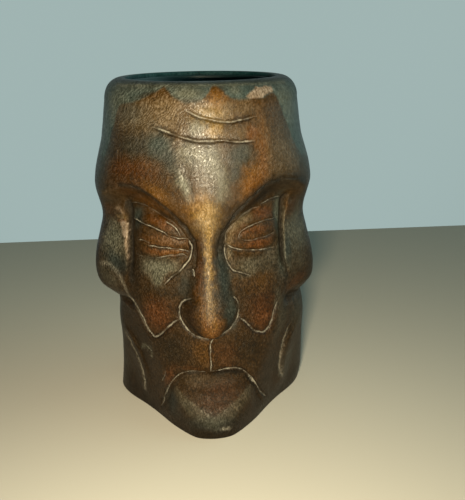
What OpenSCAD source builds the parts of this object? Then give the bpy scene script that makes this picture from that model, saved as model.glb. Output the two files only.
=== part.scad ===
// Tiki mug. A block of wood carved as an ancestor's head is bored right
// through. A wooden plug closes the foot of the bore, and a thin dark cup
// is glued in above it.
//
// The mug stands on z = 0 with the bore's axis on Z. The face looks along
// -Y. The head is shaped as a thickness of wood outside the bore,
// skin_wood(a, z): a is the angle from the middle of the face, positive
// towards +X. Places across the face are lengths of arc from its middle
// line, measured at face_r.

/* [Cup] */
// Inner radius of the cup
cup_r = 31.5; // [28:0.5:34]
// Wall of the cup's lining
liner_wall = 0.8; // [0.6:0.1:1.5]
// Floor of the cup's lining
liner_floor = 1; // [0.6:0.1:2]
// How far the lining's lip lies below the mouth
lip_drop = 1.8; // [1:0.1:4]
// Gap for glue around the lining and the plug
glue_gap = 0.2; // [0.1:0.05:0.3]
// Bevel at the bore's two ends
bore_bevel = 0.6; // [0.3:0.1:1]

/* [Foot] */
// Thickness of the base plug, which is flush with the foot
plug_t = 12; // [8:0.5:16]
// Bevel on the plug's edges
plug_bevel = 0.6; // [0.3:0.1:1]
// Radius worn on the foot's outer edge
foot_round = 1.4; // [0.8:0.1:2]

/* [Crown] */
// Height of the mug
mug_h = 150; // [142:1:170]
// Wood under the rim's rounded edge
rim_wood = 9.4; // [8:0.2:12]
// Height of the rim's rounded edge
rim_round = 8.7; // [6:0.1:12]
// How far the rounded edge comes in at the mouth
rim_inset = 7.2; // [4:0.2:7.4]
// Swell of the forehead's middle
forehead_swell = 1.1; // [0:0.1:3]

/* [Brow and eyes] */
// Height of the brow ridge's crest
brow_z = 111; // [106:0.5:114]
// Wood at the brow ridge
brow_wood = 15; // [13:0.5:18]
// How much further the brow ridge stands out at the sides
brow_flare = 1.1; // [0:0.1:2]
// Wood in the eye sockets
socket_wood = 9; // [7.5:0.5:11]
// Height of the eyes
eye_z = 89.5; // [86:0.5:92]
// Arc from the middle line to the middle of an eye
eye_arc = 22; // [20:0.5:24]
// Swell of the closed lids
lid_swell = 2.6; // [1:0.1:4]

/* [Nose and cheeks] */
// Wood at the tip of the nose
nose_wood = 20.4; // [18:0.2:22]
// Height of the nose's tip
nose_z = 55; // [53:0.5:58]
// Radius of the nose's round lower outline
nose_tip_r = 12.5; // [10:0.5:13]
// Height of the low points of the cheeks
cheek_z = 45; // [43:0.5:47]
// Arc from the middle line to a cheek's low point
cheek_arc = 25.2; // [23:0.2:27]
// Wood in the cheeks
cheek_wood = 13; // [11.5:0.5:14]

/* [Mouth and chin] */
// Height of the mouth's line
mouth_z = 30.2; // [28:0.2:34]
// Half width of the mouth's level stretch
mouth_arc = 10; // [8:0.5:12]
// How far the lower lip is cut back under the mouth's line
lip_cut = 1.2; // [0.4:0.1:2]
// Wood in the upper lip
lip_wood = 12.5; // [11:0.5:13.5]
// Wood at the chin
chin_wood = 18.8; // [16:0.2:20]
// Wood left at the foot by the flats that run back from the chin
flat_wood = 5.3; // [4:0.1:7]
// Way that the flats face, as degrees from the middle of the face
flat_angle = 52; // [48:1:56]

/* [Side slabs] */
// Wood in the side slabs at their lower end
slab_wood = 19; // [15:0.2:20]
// How much less wood the slabs have along the upper part of their front edges
slab_fall = 3.5; // [1:0.5:5]
// How much less still they have along their lower front edges
slab_turn_in = 3; // [0:0.5:4]
// How much further out the slab's front edge lies on +X
slab_offset = 1.8; // [0:0.2:2.4]
// Depth of the channel beside the slabs
slab_channel = 1; // [0.4:0.1:1.4]
// Height of the slabs' lower ledge
slab_z = 56; // [54:0.5:58]
// Wood in the lobes below the slabs
lobe_wood = 12.2; // [10.5:0.1:13]
// How far the lobes' front edges stand over the jaw
lobe_step = 1; // [0.4:0.1:1.6]
// Wood in the back
back_wood = 14; // [12:0.5:15]
// How far the jaw's flats bulge at the foot
jaw_belly = 1; // [0.4:0.1:1.4]
// How far the slabs and lobes are carved out of line with each other
lean = 1.2; // [0:0.1:1.6]

/* [Hidden] */
$fn = 96;

liner_r = cup_r + liner_wall;
bore_r = liner_r + glue_gap;
plug_r = liner_r;
liner_top = mug_h - lip_drop;
face_r = bore_r + 12.5;
shoulder_z = mug_h - rim_round;

// Heights at which the skin is cut: the worn foot, the face and the rim.
foot_rows = 3;
face_rows = 52;
rim_rows = 6;
heights = concat(
    [for (k = [0 : foot_rows - 1]) foot_round * (1 - cos(90 * k / foot_rows))],
    [for (k = [0 : face_rows - 1]) mix(foot_round, shoulder_z, k / face_rows)],
    [for (k = [0 : rim_rows]) shoulder_z + rim_round * sin(90 * k / rim_rows)]);

function mix(from, to, t) = from + (to - from) * t;
function clamp(x) = min(max(x, 0), 1);

// Goes from 0 at low to 1 at high without a kink at either end.
function ease(low, high, x) = let (t = clamp((x - low) / (high - low))) t * t * (3 - 2 * t);

// Smooth curve through points [x, value], level beyond its ends.
function slope(p, i) =
    let (a = max(i - 1, 0), b = min(i + 1, len(p) - 1))
    (p[b][1] - p[a][1]) / (p[b][0] - p[a][0]);
function curve(x, p) =
    let (last = len(p) - 1,
         q = min(max(x, p[0][0]), p[last][0]),
         i = max([for (k = [0 : last - 1]) if (q >= p[k][0]) k]),
         h = p[i + 1][0] - p[i][0],
         t = (q - p[i][0]) / h)
    (2 * t ^ 3 - 3 * t ^ 2 + 1) * p[i][1]
    + (t ^ 3 - 2 * t ^ 2 + t) * h * slope(p, i)
    + (3 * t ^ 2 - 2 * t ^ 3) * p[i + 1][1]
    + (t ^ 3 - t ^ 2) * h * slope(p, i + 1);

// The smaller of two values, with the corner between them rounded.
function blend_min(a, b, round) = (a + b) / 2 - sqrt(((a - b) / 2) ^ 2 + round ^ 2);

// How far the point (s, z) lies above the line z = curve(s, p).
function above(s, z, p) =
    let (rise = curve(s + 0.5, p) - curve(s - 0.5, p))
    (z - curve(s, p)) / sqrt(1 + rise ^ 2);

// Lines across the face, as heights over the arc from the middle.
brow_line = [for (p = [[0, -27], [3.5, -21], [8.5, -15], [16, -7.5], [24, -1.8],
                       [31, 0], [40, -2], [50, -8], [60, -14]])
    [p[0], brow_z + p[1]]];
cheek_line = [for (p = [[-25.2, 7], [-13.2, 10.5], [-6.7, 5.5], [-1.8, 0.8], [0, 0],
                        [1.8, 1], [5, 6], [10, 12.5], [17, 17]])
    [cheek_arc + p[0], cheek_z + p[1]]];
mouth_line = [for (p = [[0, 0], [4, -2], [7.6, -5.6], [10.4, -9.7], [14, -17.2], [20, -27.2]])
    [mouth_arc + p[0], mouth_z + p[1]]];

lobe_top = [[38, 20], [41, 31], [46, 37], [52, 41], [60, 46]];

// How far the head leans to +X at a height: the lobes one way, the slabs
// the other.
lean_line = [for (p = [[0, -0.4], [8, 0.5], [20, 1], [slab_z - 8, 1], [slab_z, 0],
                       [slab_z + 6, -0.6], [slab_z + 19, -0.9], [slab_z + 34, -0.75],
                       [brow_z - 3, -0.35], [brow_z + 14, -0.35], [145, 0]])
    [p[0], lean * p[1]]];

// Front edge of the side slabs and lobes, as an arc over the height. The
// slab's edge lies further out on +X, and more so near its top.
side_edge = concat([[0, 41], [20, 40.5], [34, 42]],
    [for (p = [[0, 43], [6, 42.5], [13, 40.5], [21, 39.6], [30, 40.2], [45, 41], [60, 41]])
     [slab_z + p[0], p[1]]]);
function edge_arc(side, z) =
    curve(z, side_edge)
    + (side > 0 ? slab_offset * ease(slab_z - 6, slab_z + 8, z)
                  * (1 + 0.65 * ease(slab_z + 28, slab_z + 42, z)) : 0);

// Wood in the forehead and crown, with the rim's rounded edge taken off.
function crown_wood(side, z) =
    curve(z, [[brow_z - 28, brow_wood - 1.8], [brow_z - 14, brow_wood - 1.2],
              [brow_z - 4, brow_wood], [mix(brow_z, shoulder_z, 0.55),
               mix(brow_wood, rim_wood, 0.55) + forehead_swell * (1 - 1.4 * side)],
              [shoulder_z, rim_wood]])
    + brow_flare * side * curve(z, [[brow_z - 21, 0], [brow_z - 7, 1], [brow_z + 2, 1], [brow_z + 15, 0]])
    - 0.8 * (1 - side) * ease(shoulder_z, brow_z, z)
    - rim_inset * (1 - sqrt(1 - clamp((z - shoulder_z) / rim_round) ^ 2));

// Wood in the flat of the face under the brow.
function face_wood(arc, z) =
    curve(z, [[cheek_z - 5, cheek_wood - 1.2], [cheek_z + 15, cheek_wood],
              [mix(cheek_z, eye_z, 0.6), cheek_wood - 1], [eye_z, socket_wood + 0.7],
              [eye_z + 10, socket_wood]])
    - 0.9 * ease(18, 40, arc);

// Wood under the cheeks. A round front swells out to the chin at the foot,
// and a flat on each side runs from the chin back to the side.
function jaw_front(z) =
    mix(chin_wood, lip_wood, curve(z, [[0, 0], [4, 0], [9.5, 0.17], [15, 0.55],
                                       [21, 0.88], [mouth_z, 1]]))
    + curve(z, [[mouth_z, 0], [cheek_z + 5, 0.6]]);
function jaw_flat(z) =
    curve(z, [[0, flat_wood], [10, flat_wood + 1], [20, flat_wood + 2.2],
              [30, flat_wood + 3.8], [cheek_z - 4, lip_wood - 1.6], [cheek_z + 7, lip_wood + 0.6]]);
function jaw_wood_at(a, z) =
    let (front = bore_r + mix(jaw_front(z), lobe_wood_at(z), ease(30, 62, abs(a))),
         belly = jaw_belly * (1 - ease(3, 14, z))
                 * (0.9 * exp(-((abs(a) - 24) / 13) ^ 2) + exp(-((abs(a) - 76) / 13) ^ 2)),
         flat = (bore_r + jaw_flat(z)) / cos(min(abs(a) - flat_angle, 70)) + belly)
    blend_min(front, flat, curve(z, [[0, 1.6], [14, 1.5], [32, 0.8]])) - bore_r;

// Wood in the side slabs, the lobes under them and the rounded back.
function slab_wood_at(past_edge, z) =
    -(slab_fall + slab_turn_in * curve(z, [[slab_z + 4, 1], [slab_z + 14, 0.83], [slab_z + 28, 0]]))
    * (1 - ease(0, 24, past_edge))
    + curve(z, [[slab_z - 6, lobe_wood - 2.6], [slab_z - 3, slab_wood - 7.2], [slab_z, slab_wood - 4.2],
              [slab_z + 4, slab_wood - 0.8], [slab_z + 10, slab_wood], [slab_z + 19, slab_wood - 1.1],
              [slab_z + 28, slab_wood - 3.5], [slab_z + 37, slab_wood - 5.3],
              [slab_z + 48, brow_wood + brow_flare]]);
function lobe_wood_at(z) =
    lobe_wood + curve(z, [[0, 1.2], [7, 1.2], [14, 0.8], [30, -0.2], [42, 0], [52, -1.2]]);
function back_wood_at(z) =
    back_wood + curve(z, [[0, -2.4], [12, -1.4], [70, 0.2], [brow_z - 8, 1]]);

// Wood along the ridge of the nose, and the nose's half width.
function ridge_wood(z) =
    curve(z, [[nose_z - 9, nose_wood - 5], [nose_z - 4, nose_wood - 0.8], [nose_z, nose_wood],
              [nose_z + 6, nose_wood - 1], [nose_z + 14, nose_wood - 3],
              [mix(nose_z, brow_z, 0.5), nose_wood - 5.8],
              [brow_z - 18, brow_wood - 1.2], [brow_z - 5, brow_wood - 0.5]]);
function nose_half(z) =
    curve(z, [[nose_z - 9, 4], [nose_z + 2, 11], [nose_z + 11, 10], [nose_z + 31, 6.4],
              [brow_z - 14, 11], [brow_z - 8, 18]]);

// Wood outside the bore at an angle and a height. Each line goes over the
// shape made by the lines before it.
function skin_wood(angle, z) =
    let (a = angle > 180 ? angle - 360 : angle,
         arc = abs(a) * PI / 180 * face_r,
         side = ease(30, 70, abs(a)),
         lip_depth = -above(arc, z, mouth_line),
         jaw = jaw_wood_at(a, z)
               - lip_cut * ease(-0.4, 1.6, lip_depth) * (1 - ease(2, 9, lip_depth)) * ease(4, 13, z),
         cheeks = mix(jaw, face_wood(arc, z), ease(-1.6, 1.4, above(arc, z, cheek_line))),
         lids = max(0, 1 - ((arc - eye_arc) / 15.5) ^ 2 - ((z - eye_z) / 9.5) ^ 2),
         eyes = cheeks + lid_swell * lids ^ 0.7,
         past_edge = arc - edge_arc(a, z),
         sunk = eyes - slab_channel * ease(-5, -1.4, past_edge) * ease(slab_z + 12, slab_z + 22, z)
                * (1 - ease(slab_z + 42, slab_z + 48, z)),
         brows = mix(sunk, crown_wood(side, z), ease(-6.5, 1.6, above(arc, z, brow_line))),
         soft = 1 - ease(slab_z + 8, slab_z + 21, z),
         step = ease(-1 - 6 * soft, 0.7 + 3 * soft, past_edge),
         hang = z + 0.7 + lean * sin(a) / 2,
         slabs = mix(brows, slab_wood_at(past_edge, hang),
                     step * ease(slab_z - 3, slab_z, hang)
                     * (1 - ease(slab_z + 41, slab_z + 50, z))),
         lobes = slabs + lobe_step * step * (1 - ease(2, 14, past_edge))
                 * ease(4, 14, z) * (1 - ease(-1, 2, z - curve(arc, lobe_top))),
         neck = mix(lobes, lobe_wood_at(z),
                    ease(46, 60, arc) * ease(30, 44, z) * (1 - ease(slab_z - 6, slab_z - 1, hang))),
         nose_top = min(neck, cheek_wood)
                    + (ridge_wood(z) - min(neck, cheek_wood))
                    * cos(90 * clamp(arc / nose_half(z))) ^ 1.3,
         outline = nose_z - 8.2 + nose_tip_r - sqrt(max(0, nose_tip_r ^ 2 - arc ^ 2)),
         nose = arc > nose_tip_r ? neck
                : max(neck, mix(neck, nose_top, ease(0, 2, z - outline)
                                * (1 - ease(brow_z - 18, brow_z - 8, z)))),
         leant = nose + curve(z, lean_line) * sin(a),
         back = mix(leant, back_wood_at(z),
                    ease(105, 122, abs(a)) * (1 - ease(brow_z - 14, brow_z - 4, z))),
         worn = foot_round * (1 - sqrt(1 - (1 - clamp(z / foot_round)) ^ 2)))
    back - worn;

// Angles at a height at which the skin is cut. They follow the front edge
// of the slabs and lobes, so that its step stays sharp: close together over
// the face, wide apart round the back.
face_cuts = 15;
edge_cuts = [0.7, 2.4, 6, 11, 17];
back_cuts = 19;
function half_angles(side, z) =
    let (edge = edge_arc(side, z))
    [for (s = concat([for (k = [0 : face_cuts]) (edge - 1.2) * k / face_cuts],
                     [for (c = edge_cuts) edge + c])) s / face_r * 180 / PI];
function angles(z) =
    let (left = half_angles(-1, z), right = half_angles(1, z),
         last = len(left) - 1,
         open = 360 - left[last] - right[last])
    concat([for (k = [last : -1 : 1]) -left[k]], right,
           [for (k = [1 : back_cuts]) right[last] + open * k / (back_cuts + 1)]);

// The carved block before boring: rings of skin points, closed at both
// ends. Each square between two rings is split along its shorter diagonal.
module carved_block() {
    n = len(angles(0));
    rows = len(heights);
    points = [for (z = heights, a = angles(z))
        let (r = bore_r + skin_wood(a, z)) [r * sin(a), -r * cos(a), z]];
    walls = [for (j = [0 : rows - 2], i = [0 : n - 1])
        let (k = (i + 1) % n, p = j * n, q = p + n,
             rising = norm(points[p + i] - points[q + k]),
             falling = norm(points[q + i] - points[p + k]))
        each rising < falling
             ? [[p + i, q + i, q + k], [p + i, q + k, p + k]]
             : [[p + i, q + i, p + k], [q + i, q + k, p + k]]];
    foot = [for (i = [0 : n - 1]) i];
    crown = [for (i = [n - 1 : -1 : 0]) (rows - 1) * n + i];
    polyhedron(points, concat([foot], walls, [crown]));
}

// The bore with its bevelled ends, as the solid to take away.
module bore_cut() {
    wide = bore_r + bore_bevel;
    rotate_extrude()
    polygon([[0, -1], [wide, -1], [wide, 0], [bore_r, bore_bevel],
             [bore_r, mug_h - bore_bevel], [wide, mug_h], [wide, mug_h + 1], [0, mug_h + 1]]);
}

module carved_head() {
    color("#7a4423")
    difference() {
        carved_block();
        bore_cut();
    }
}

module base_plug() {
    color("#8a5a34")
    rotate_extrude()
    polygon([[0, 0], [plug_r - plug_bevel, 0], [plug_r, plug_bevel],
             [plug_r, plug_t - plug_bevel], [plug_r - plug_bevel, plug_t], [0, plug_t]]);
}

module cup_liner() {
    color("#16211f")
    difference() {
        translate([0, 0, plug_t]) cylinder(r = liner_r, h = liner_top - plug_t);
        translate([0, 0, plug_t + liner_floor]) cylinder(r = cup_r, h = mug_h);
    }
}

carved_head();
base_plug();
cup_liner();
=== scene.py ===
"""Looks of a carved wooden tiki mug, built on its construction in model.glb."""
import math

import bmesh
import bpy
import numpy as np
from bpy.props import FloatProperty, FloatVectorProperty, IntProperty, PointerProperty
from bpy.types import Operator, Panel, PropertyGroup
from mathutils import Matrix, Vector, kdtree, noise


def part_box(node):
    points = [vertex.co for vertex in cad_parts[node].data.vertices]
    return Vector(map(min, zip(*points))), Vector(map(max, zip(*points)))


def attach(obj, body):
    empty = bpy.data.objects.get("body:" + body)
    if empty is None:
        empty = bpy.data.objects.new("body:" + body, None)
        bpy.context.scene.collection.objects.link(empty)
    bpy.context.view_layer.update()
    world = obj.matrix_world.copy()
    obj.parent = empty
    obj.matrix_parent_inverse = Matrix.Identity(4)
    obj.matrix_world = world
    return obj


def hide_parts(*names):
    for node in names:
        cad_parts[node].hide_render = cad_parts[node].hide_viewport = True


bl_info = {
    "name": "Carved Tiki Mug",
    "version": (1, 0, 0),
    "blender": (4, 5, 0),
    "location": "View3D > Sidebar > Tiki Mug",
    "description": "Builds the carved head, foot plug and cup lining of a wooden tiki mug",
    "category": "Object",
}

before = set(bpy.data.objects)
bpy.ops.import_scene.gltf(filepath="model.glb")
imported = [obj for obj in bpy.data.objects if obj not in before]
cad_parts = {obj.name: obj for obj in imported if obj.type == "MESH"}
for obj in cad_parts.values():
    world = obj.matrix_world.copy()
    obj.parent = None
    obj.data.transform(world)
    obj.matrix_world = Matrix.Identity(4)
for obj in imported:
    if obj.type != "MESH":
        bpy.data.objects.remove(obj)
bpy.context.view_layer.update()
HEAD_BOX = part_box("carved_head")
LINER_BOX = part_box("cup_liner")
PLUG_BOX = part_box("base_plug")
MM = 0.001

# ---------------------------------------------------------------- settings


class MugSizes(PropertyGroup):
    """Sizes of the pieces that their boxes in model.glb don't give."""

    foot_round: FloatProperty(
        name="Foot rounding", description="Radius worn on the foot's outer edge",
        default=0.8 * MM, unit="LENGTH")
    bore_bevel: FloatProperty(
        name="Bore bevel", description="Bevel at both ends of the bore",
        default=0.6 * MM, unit="LENGTH")
    plug_edge: FloatProperty(
        name="Plug edge", description="Rounding of the foot plug's edges",
        default=0.7 * MM, unit="LENGTH")
    lining_wall: FloatProperty(
        name="Lining wall", description="Thickness of the cup lining's wall",
        default=0.8 * MM, unit="LENGTH")
    lining_floor: FloatProperty(
        name="Lining floor", description="Thickness of the cup lining's floor",
        default=1.0 * MM, unit="LENGTH")
    lining_cove: FloatProperty(
        name="Lining cove", description="Radius inside the lining, between its wall and floor",
        default=3 * MM, unit="LENGTH")
    lining_corner: FloatProperty(
        name="Lining corner", description="Radius outside, at the foot of the lining",
        default=1.5 * MM, unit="LENGTH")


class CarvingSizes(PropertyGroup):
    """How deep the hand work goes."""

    cell: FloatProperty(
        name="Cell", description="Spacing of the carved skin's points on the face",
        default=0.55 * MM, unit="LENGTH")
    cut_depth: FloatProperty(
        name="Cut depth", description="Depth of the incised lines",
        default=0.75 * MM, unit="LENGTH")
    swell: FloatProperty(
        name="Swell", description="Height of the slow unevenness left by hand work",
        default=0.35 * MM, unit="LENGTH")
    facet: FloatProperty(
        name="Facet depth", description="Depth of the shallow gouge facets",
        default=0.3 * MM, unit="LENGTH")
    crinkle: FloatProperty(
        name="Crinkle", description="Depth of the fine folds in the lacquered skin",
        default=0.08 * MM, unit="LENGTH")
    seed: IntProperty(name="Seed", description="Fixed seed of the hand work", default=7, min=1)


class Finishes(PropertyGroup):
    """Colours of the stain, some also laid on as painted shade and highlight, the bared wood, the lining
    and the plug.
    """

    # Also laid on as painted shade: under the brows, on and beside the slabs' inner walls, under the upper
    # lip, and partly in the hollows.
    tar_and_shade: FloatVectorProperty(
        name="Tar", description="Blackest stain, left in the hollows",
        subtype="COLOR", default=(0.008, 0.006, 0.004))
    slate: FloatVectorProperty(
        name="Slate", description="Green-grey stain round the rim and on the flanks",
        subtype="COLOR", default=(0.024, 0.034, 0.031))
    # Also laid on as painted shade on the sides and along the front of the foot.
    umber_and_shade: FloatVectorProperty(
        name="Umber", description="Dark brown stain",
        subtype="COLOR", default=(0.018, 0.011, 0.0045))
    brown: FloatVectorProperty(
        name="Brown", description="Middle brown of the carved faces",
        subtype="COLOR", default=(0.038, 0.019, 0.006))
    oxblood: FloatVectorProperty(
        name="Oxblood", description="Red-brown of the lower lip",
        subtype="COLOR", default=(0.050, 0.019, 0.006))
    amber: FloatVectorProperty(
        name="Amber", description="Golden brown of the worn stain",
        subtype="COLOR", default=(0.133, 0.061, 0.016))
    rust: FloatVectorProperty(
        name="Rust", description="Orange-brown of the rubbed places",
        subtype="COLOR", default=(0.118, 0.041, 0.012))
    clay: FloatVectorProperty(
        name="Clay", description="Dull pinkish brown where the folds are rubbed",
        subtype="COLOR", default=(0.092, 0.064, 0.036))
    # Also laid on as painted highlight on the middle of the forehead and down the ridge of the nose.
    honey_and_highlight: FloatVectorProperty(
        name="Honey", description="Wood rubbed almost bare",
        subtype="COLOR", default=(0.215, 0.128, 0.036))
    # Also laid on as painted highlight on the middle of the forehead, and as painted sheen under the eyes,
    # round the chin and along the mouth's edge.
    ash_and_sheen: FloatVectorProperty(
        name="Ash", description="Greyed stain of the worn places",
        subtype="COLOR", default=(0.100, 0.096, 0.070))
    # Also laid on as painted highlight beside the cuts of the left cheek and the lobes, and along the ridge
    # at the left slab's lower end.
    bone: FloatVectorProperty(
        name="Bone", description="Pale wood bared in the cuts and chips",
        subtype="COLOR", default=(0.330, 0.300, 0.240))
    bared: FloatVectorProperty(
        name="Bared", description="Pinkish wood where the stain is rubbed or chipped off",
        subtype="COLOR", default=(0.300, 0.228, 0.170))
    lining: FloatVectorProperty(
        name="Lining", description="Dark lacquer of the cup lining",
        subtype="COLOR", default=(0.022, 0.064, 0.068))
    plug: FloatVectorProperty(
        name="Plug", description="Turned wood of the foot plug",
        subtype="COLOR", default=(0.190, 0.100, 0.045))


class StageSettings(PropertyGroup):
    """Floor, light and camera."""

    floor: FloatVectorProperty(
        name="Floor", description="Colour of the plain floor",
        subtype="COLOR", default=(0.44, 0.41, 0.35))
    key_power: FloatProperty(
        name="Key light", description="Power of the small warm light beside the camera",
        default=1.75, unit="POWER")
    room_power: FloatProperty(
        name="Room light", description="Strength of the wide cool light from the side at +X",
        default=1.2)
    lens: FloatProperty(
        name="Lens", description="Focal length of the camera",
        default=43.2, unit="CAMERA")


# ------------------------------------------------- the carved head's relief
# The head is a thickness of wood outside the bore. Places on it are given
# in millimetres: arc from the middle of the face, positive towards +X and
# measured at FACE_R, and height over the foot.

LINING_GAP = 0.2
FACE_WOOD = 12.5
BORE_R = (LINER_BOX[1].x - LINER_BOX[0].x) / 2 / MM + LINING_GAP
FACE_R = BORE_R + FACE_WOOD
MUG_H = HEAD_BOX[1].z / MM
BROW_H = 111.5
EYE_H = 89.5

# The rounded edge at the mouth: its height, how far it goes in, and where it starts.
RIM_ROUND = 8.7
RIM_DEPTH = 7.2
SHOULDER = MUG_H - RIM_ROUND


def mix(a, b, t):
    """Goes from a at t = 0 to b at t = 1."""
    return a + (b - a) * t


def ease(low, high, x):
    """Goes from 0 at low to 1 at high without a kink."""
    t = np.clip((x - low) / (high - low), 0, 1)
    return t * t * (3 - 2 * t)


def curve(x, points):
    """Smooth curve through points (x, value), level beyond its ends."""
    p = np.array(points, float)
    steps = np.diff(p[:, 0])
    ends = np.concatenate([[0], np.arange(len(p) - 2), [len(p) - 2]])
    after = np.minimum(np.arange(len(p)) + 1, len(p) - 1)
    slope = (p[after, 1] - p[ends, 1]) / (p[after, 0] - p[ends, 0])
    q = np.clip(x, p[0, 0], p[-1, 0])
    i = np.clip(np.searchsorted(p[:, 0], q, side="right") - 1, 0, len(p) - 2)
    h = steps[i]
    t = (q - p[i, 0]) / h
    return ((2 * t**3 - 3 * t**2 + 1) * p[i, 1] + (t**3 - 2 * t**2 + t) * h * slope[i]
            + (3 * t**2 - 2 * t**3) * p[i + 1, 1] + (t**3 - t**2) * h * slope[i + 1])


def above(arc, height, line):
    """How far a place lies above a line across the face, square to the line."""
    rise = curve(arc + 0.5, line) - curve(arc - 0.5, line)
    return (height - curve(arc, line)) / np.sqrt(1 + rise**2)


def blend_min(a, b, round_off):
    """The smaller of two values, rounded where they cross."""
    return (a + b) / 2 - np.sqrt(((a - b) / 2) ** 2 + round_off**2)


# Borders between the forms of the face, alike on both sides: (arc, height).
BROW_LINE = [(0, 84), (3.5, 90), (8.5, 96), (16, 103.5), (24, 109.2),
             (31, 111), (40, 109), (50, 103), (60, 97)]
CHEEK_LINE = [(0, 52), (12, 55.5), (18.5, 50.5), (23.4, 45.8), (25.2, 45),
              (27, 46), (30.2, 51), (35.2, 57.5), (42.2, 62)]
MOUTH_LINE = [(0, 30.2), (10, 30.2), (14, 28.2), (17.6, 24.6), (20.4, 20.5), (24, 13), (30, 3)]
LIP_POINT = [(0, 10.5), (3, 12.5), (8, 15.5), (14, 19.5), (17.5, 21), (24, 22)]
LOBE_TOP = [(38, 20), (41, 31), (46, 37), (52, 41), (60, 46)]

# How far the head leans towards +X: (height, millimetres).
LEAN = [(0, -0.5), (8, 0.6), (20, 1.2), (48, 1.2), (56, 0), (62, -0.7), (75, -1.1), (90, -0.9),
        (108, -0.4), (125, -0.4), (145, 0)]

# Border between the face and the slab at its side: (height, arc).
SIDE_EDGE = [(0, 41), (20, 40.5), (34, 42), (56, 43), (62, 42.5), (69, 40.5),
             (77, 39.6), (86, 40.2), (101, 41), (116, 41)]


def crown_wood(side, z):
    """Forehead and crown, with the rounded edge at the mouth taken off."""
    wood = curve(z, [(83.5, 13.2), (97.5, 13.8), (107.5, 15), (127.2, 12), (141.3, 9.4)])
    swell = curve(z, [(107.5, 0), (127.2, 1.1), (141.3, 0)]) * (1 - 1.4 * side)
    flare = 1.1 * side * curve(z, [(90, 0), (104, 1), (113, 1), (126, 0)])
    hollow = 0.8 * (1 - side) * ease(SHOULDER, BROW_H, z)
    edge = RIM_DEPTH * (1 - np.sqrt(1 - np.clip((z - SHOULDER) / RIM_ROUND, 0, 1) ** 2))
    return wood + swell + flare - hollow - edge


def frown(place, z):
    """Two low ridges that rise from the nose into the forehead, with a furrow between them."""
    left = np.exp(-(((place + 5.5 + 0.3 * (z - 100)) / 2.4) ** 2))
    right = np.exp(-(((place - 4.5 - 0.12 * (z - 100)) / 3.2) ** 2))
    furrow = np.exp(-(((place + 3.4 + 0.22 * (z - 100)) / 1.3) ** 2))
    return (0.25 * left + 0.4 * right - 0.25 * furrow) * ease(93, 102, z) * (1 - ease(114, 126, z))


def face_wood(arc, z):
    """The flat of the face under the brow."""
    wood = curve(z, [(40, 11.8), (60, 13), (71.7, 12), (89.5, 9.7), (99.5, 9)])
    return wood - 0.9 * ease(18, 40, arc)


def lobe_wood(z):
    """The sides of the jaw and the neck under the slabs."""
    return 12.2 + curve(z, [(0, 1.2), (7, 1.2), (14, 0.8), (30, -0.2), (42, 0), (52, -1.2)])


# How far round the head the middle of the jaw's flats lies, in degrees.
FLAT_TURN = 52


def jaw_wood(turn, z):
    """Round in front, swelling out to the chin, with a flat on each side."""
    front = mix(18.8, 12.5, curve(z, [(0, 0), (4, 0), (9.5, 0.17), (15, 0.55), (21, 0.88), (31, 1)]))
    front = front + curve(z, [(31, 0), (50, 0.6)])
    front = BORE_R + mix(front, lobe_wood(z), ease(30, 62, turn))
    flat = BORE_R + curve(z, [(0, 5.3), (10, 6.3), (20, 7.5), (30, 9.1), (41, 10.9), (52, 13.1)])
    flat = flat / np.cos(np.radians(np.minimum(turn - FLAT_TURN, 70)))
    belly = 0.9 * np.exp(-(((turn - FLAT_TURN + 28) / 13) ** 2))
    belly = belly + np.exp(-(((turn - FLAT_TURN - 24) / 13) ** 2))
    flat = flat + belly * (1 - ease(3, 14, z))
    return blend_min(front, flat, curve(z, [(0, 1.6), (14, 1.5), (32, 0.8)])) - BORE_R


def past_side(place, z):
    """How far a place lies past the border of the face; the border is further out on +X."""
    further = np.where(place > 0, 1.8 + 1.2 * ease(84, 98, z), 0) * ease(50, 64, z)
    return np.abs(place) - curve(z, SIDE_EDGE) - further


def slab_wood(past_edge, z):
    """The long slabs at the sides of the face, fullest near their lower end."""
    wood = curve(z, [(50, 9.6), (53, 11.8), (56, 14.8), (60, 18.2), (66, 19), (75, 17.9),
                     (84, 15.5), (93, 13.7), (104, 16.1)])
    slope = curve(z, [(60, 6.5), (70, 6), (84, 3.5), (104, 3.5)])
    return wood - slope * (1 - ease(0, 24, past_edge))


def back_wood(z):
    """The plain round back."""
    return 14 + curve(z, [(0, -2.4), (12, -1.4), (70, 0.2), (103.5, 1)])


def nose_wood(arc, z, under):
    """The nose over the face: a ridge that widens to its round tip."""
    ridge = curve(z, [(46, 15.4), (51, 19.6), (55, 20.4), (61, 19.4), (69, 17.4),
                      (83.2, 14.6), (93.5, 13.8), (106.5, 14.5)])
    half = curve(z, [(46, 4), (57, 11), (66, 10), (86, 6.4), (97.5, 11), (103.5, 18)])
    foot = np.minimum(under, 13)
    nose = foot + (ridge - foot) * np.cos(np.pi / 2 * np.clip(arc / half, 0, 1)) ** 1.3
    outline = 59.3 - np.sqrt(np.maximum(0, 156 - arc**2))
    shown = ease(0, 2, z - outline) * (1 - ease(93.5, 103.5, z))
    return np.where(arc > 12.5, under, np.maximum(under, mix(under, nose, shown)))


def mouth_wood(arc, z):
    """The hollow under the mouth's line, and the fuller wood of the chin under the lip."""
    lip = -above(arc, z, MOUTH_LINE)
    hollow = 1.2 * ease(-0.4, 1.6, lip) * (1 - ease(2, 9, lip)) * ease(4, 13, z)
    chin = ease(1.5, -1.5, above(arc, z, LIP_POINT)) * ease(0.5, 3, lip) * ease(2, 9, z)
    return 0.25 * chin - hollow


def eyelid_wood(arc, z):
    """The low oval swelling of a closed eye."""
    return 2.6 * np.maximum(0, 1 - ((arc - 22) / 15.5) ** 2 - ((z - EYE_H) / 9.5) ** 2) ** 0.7


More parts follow.
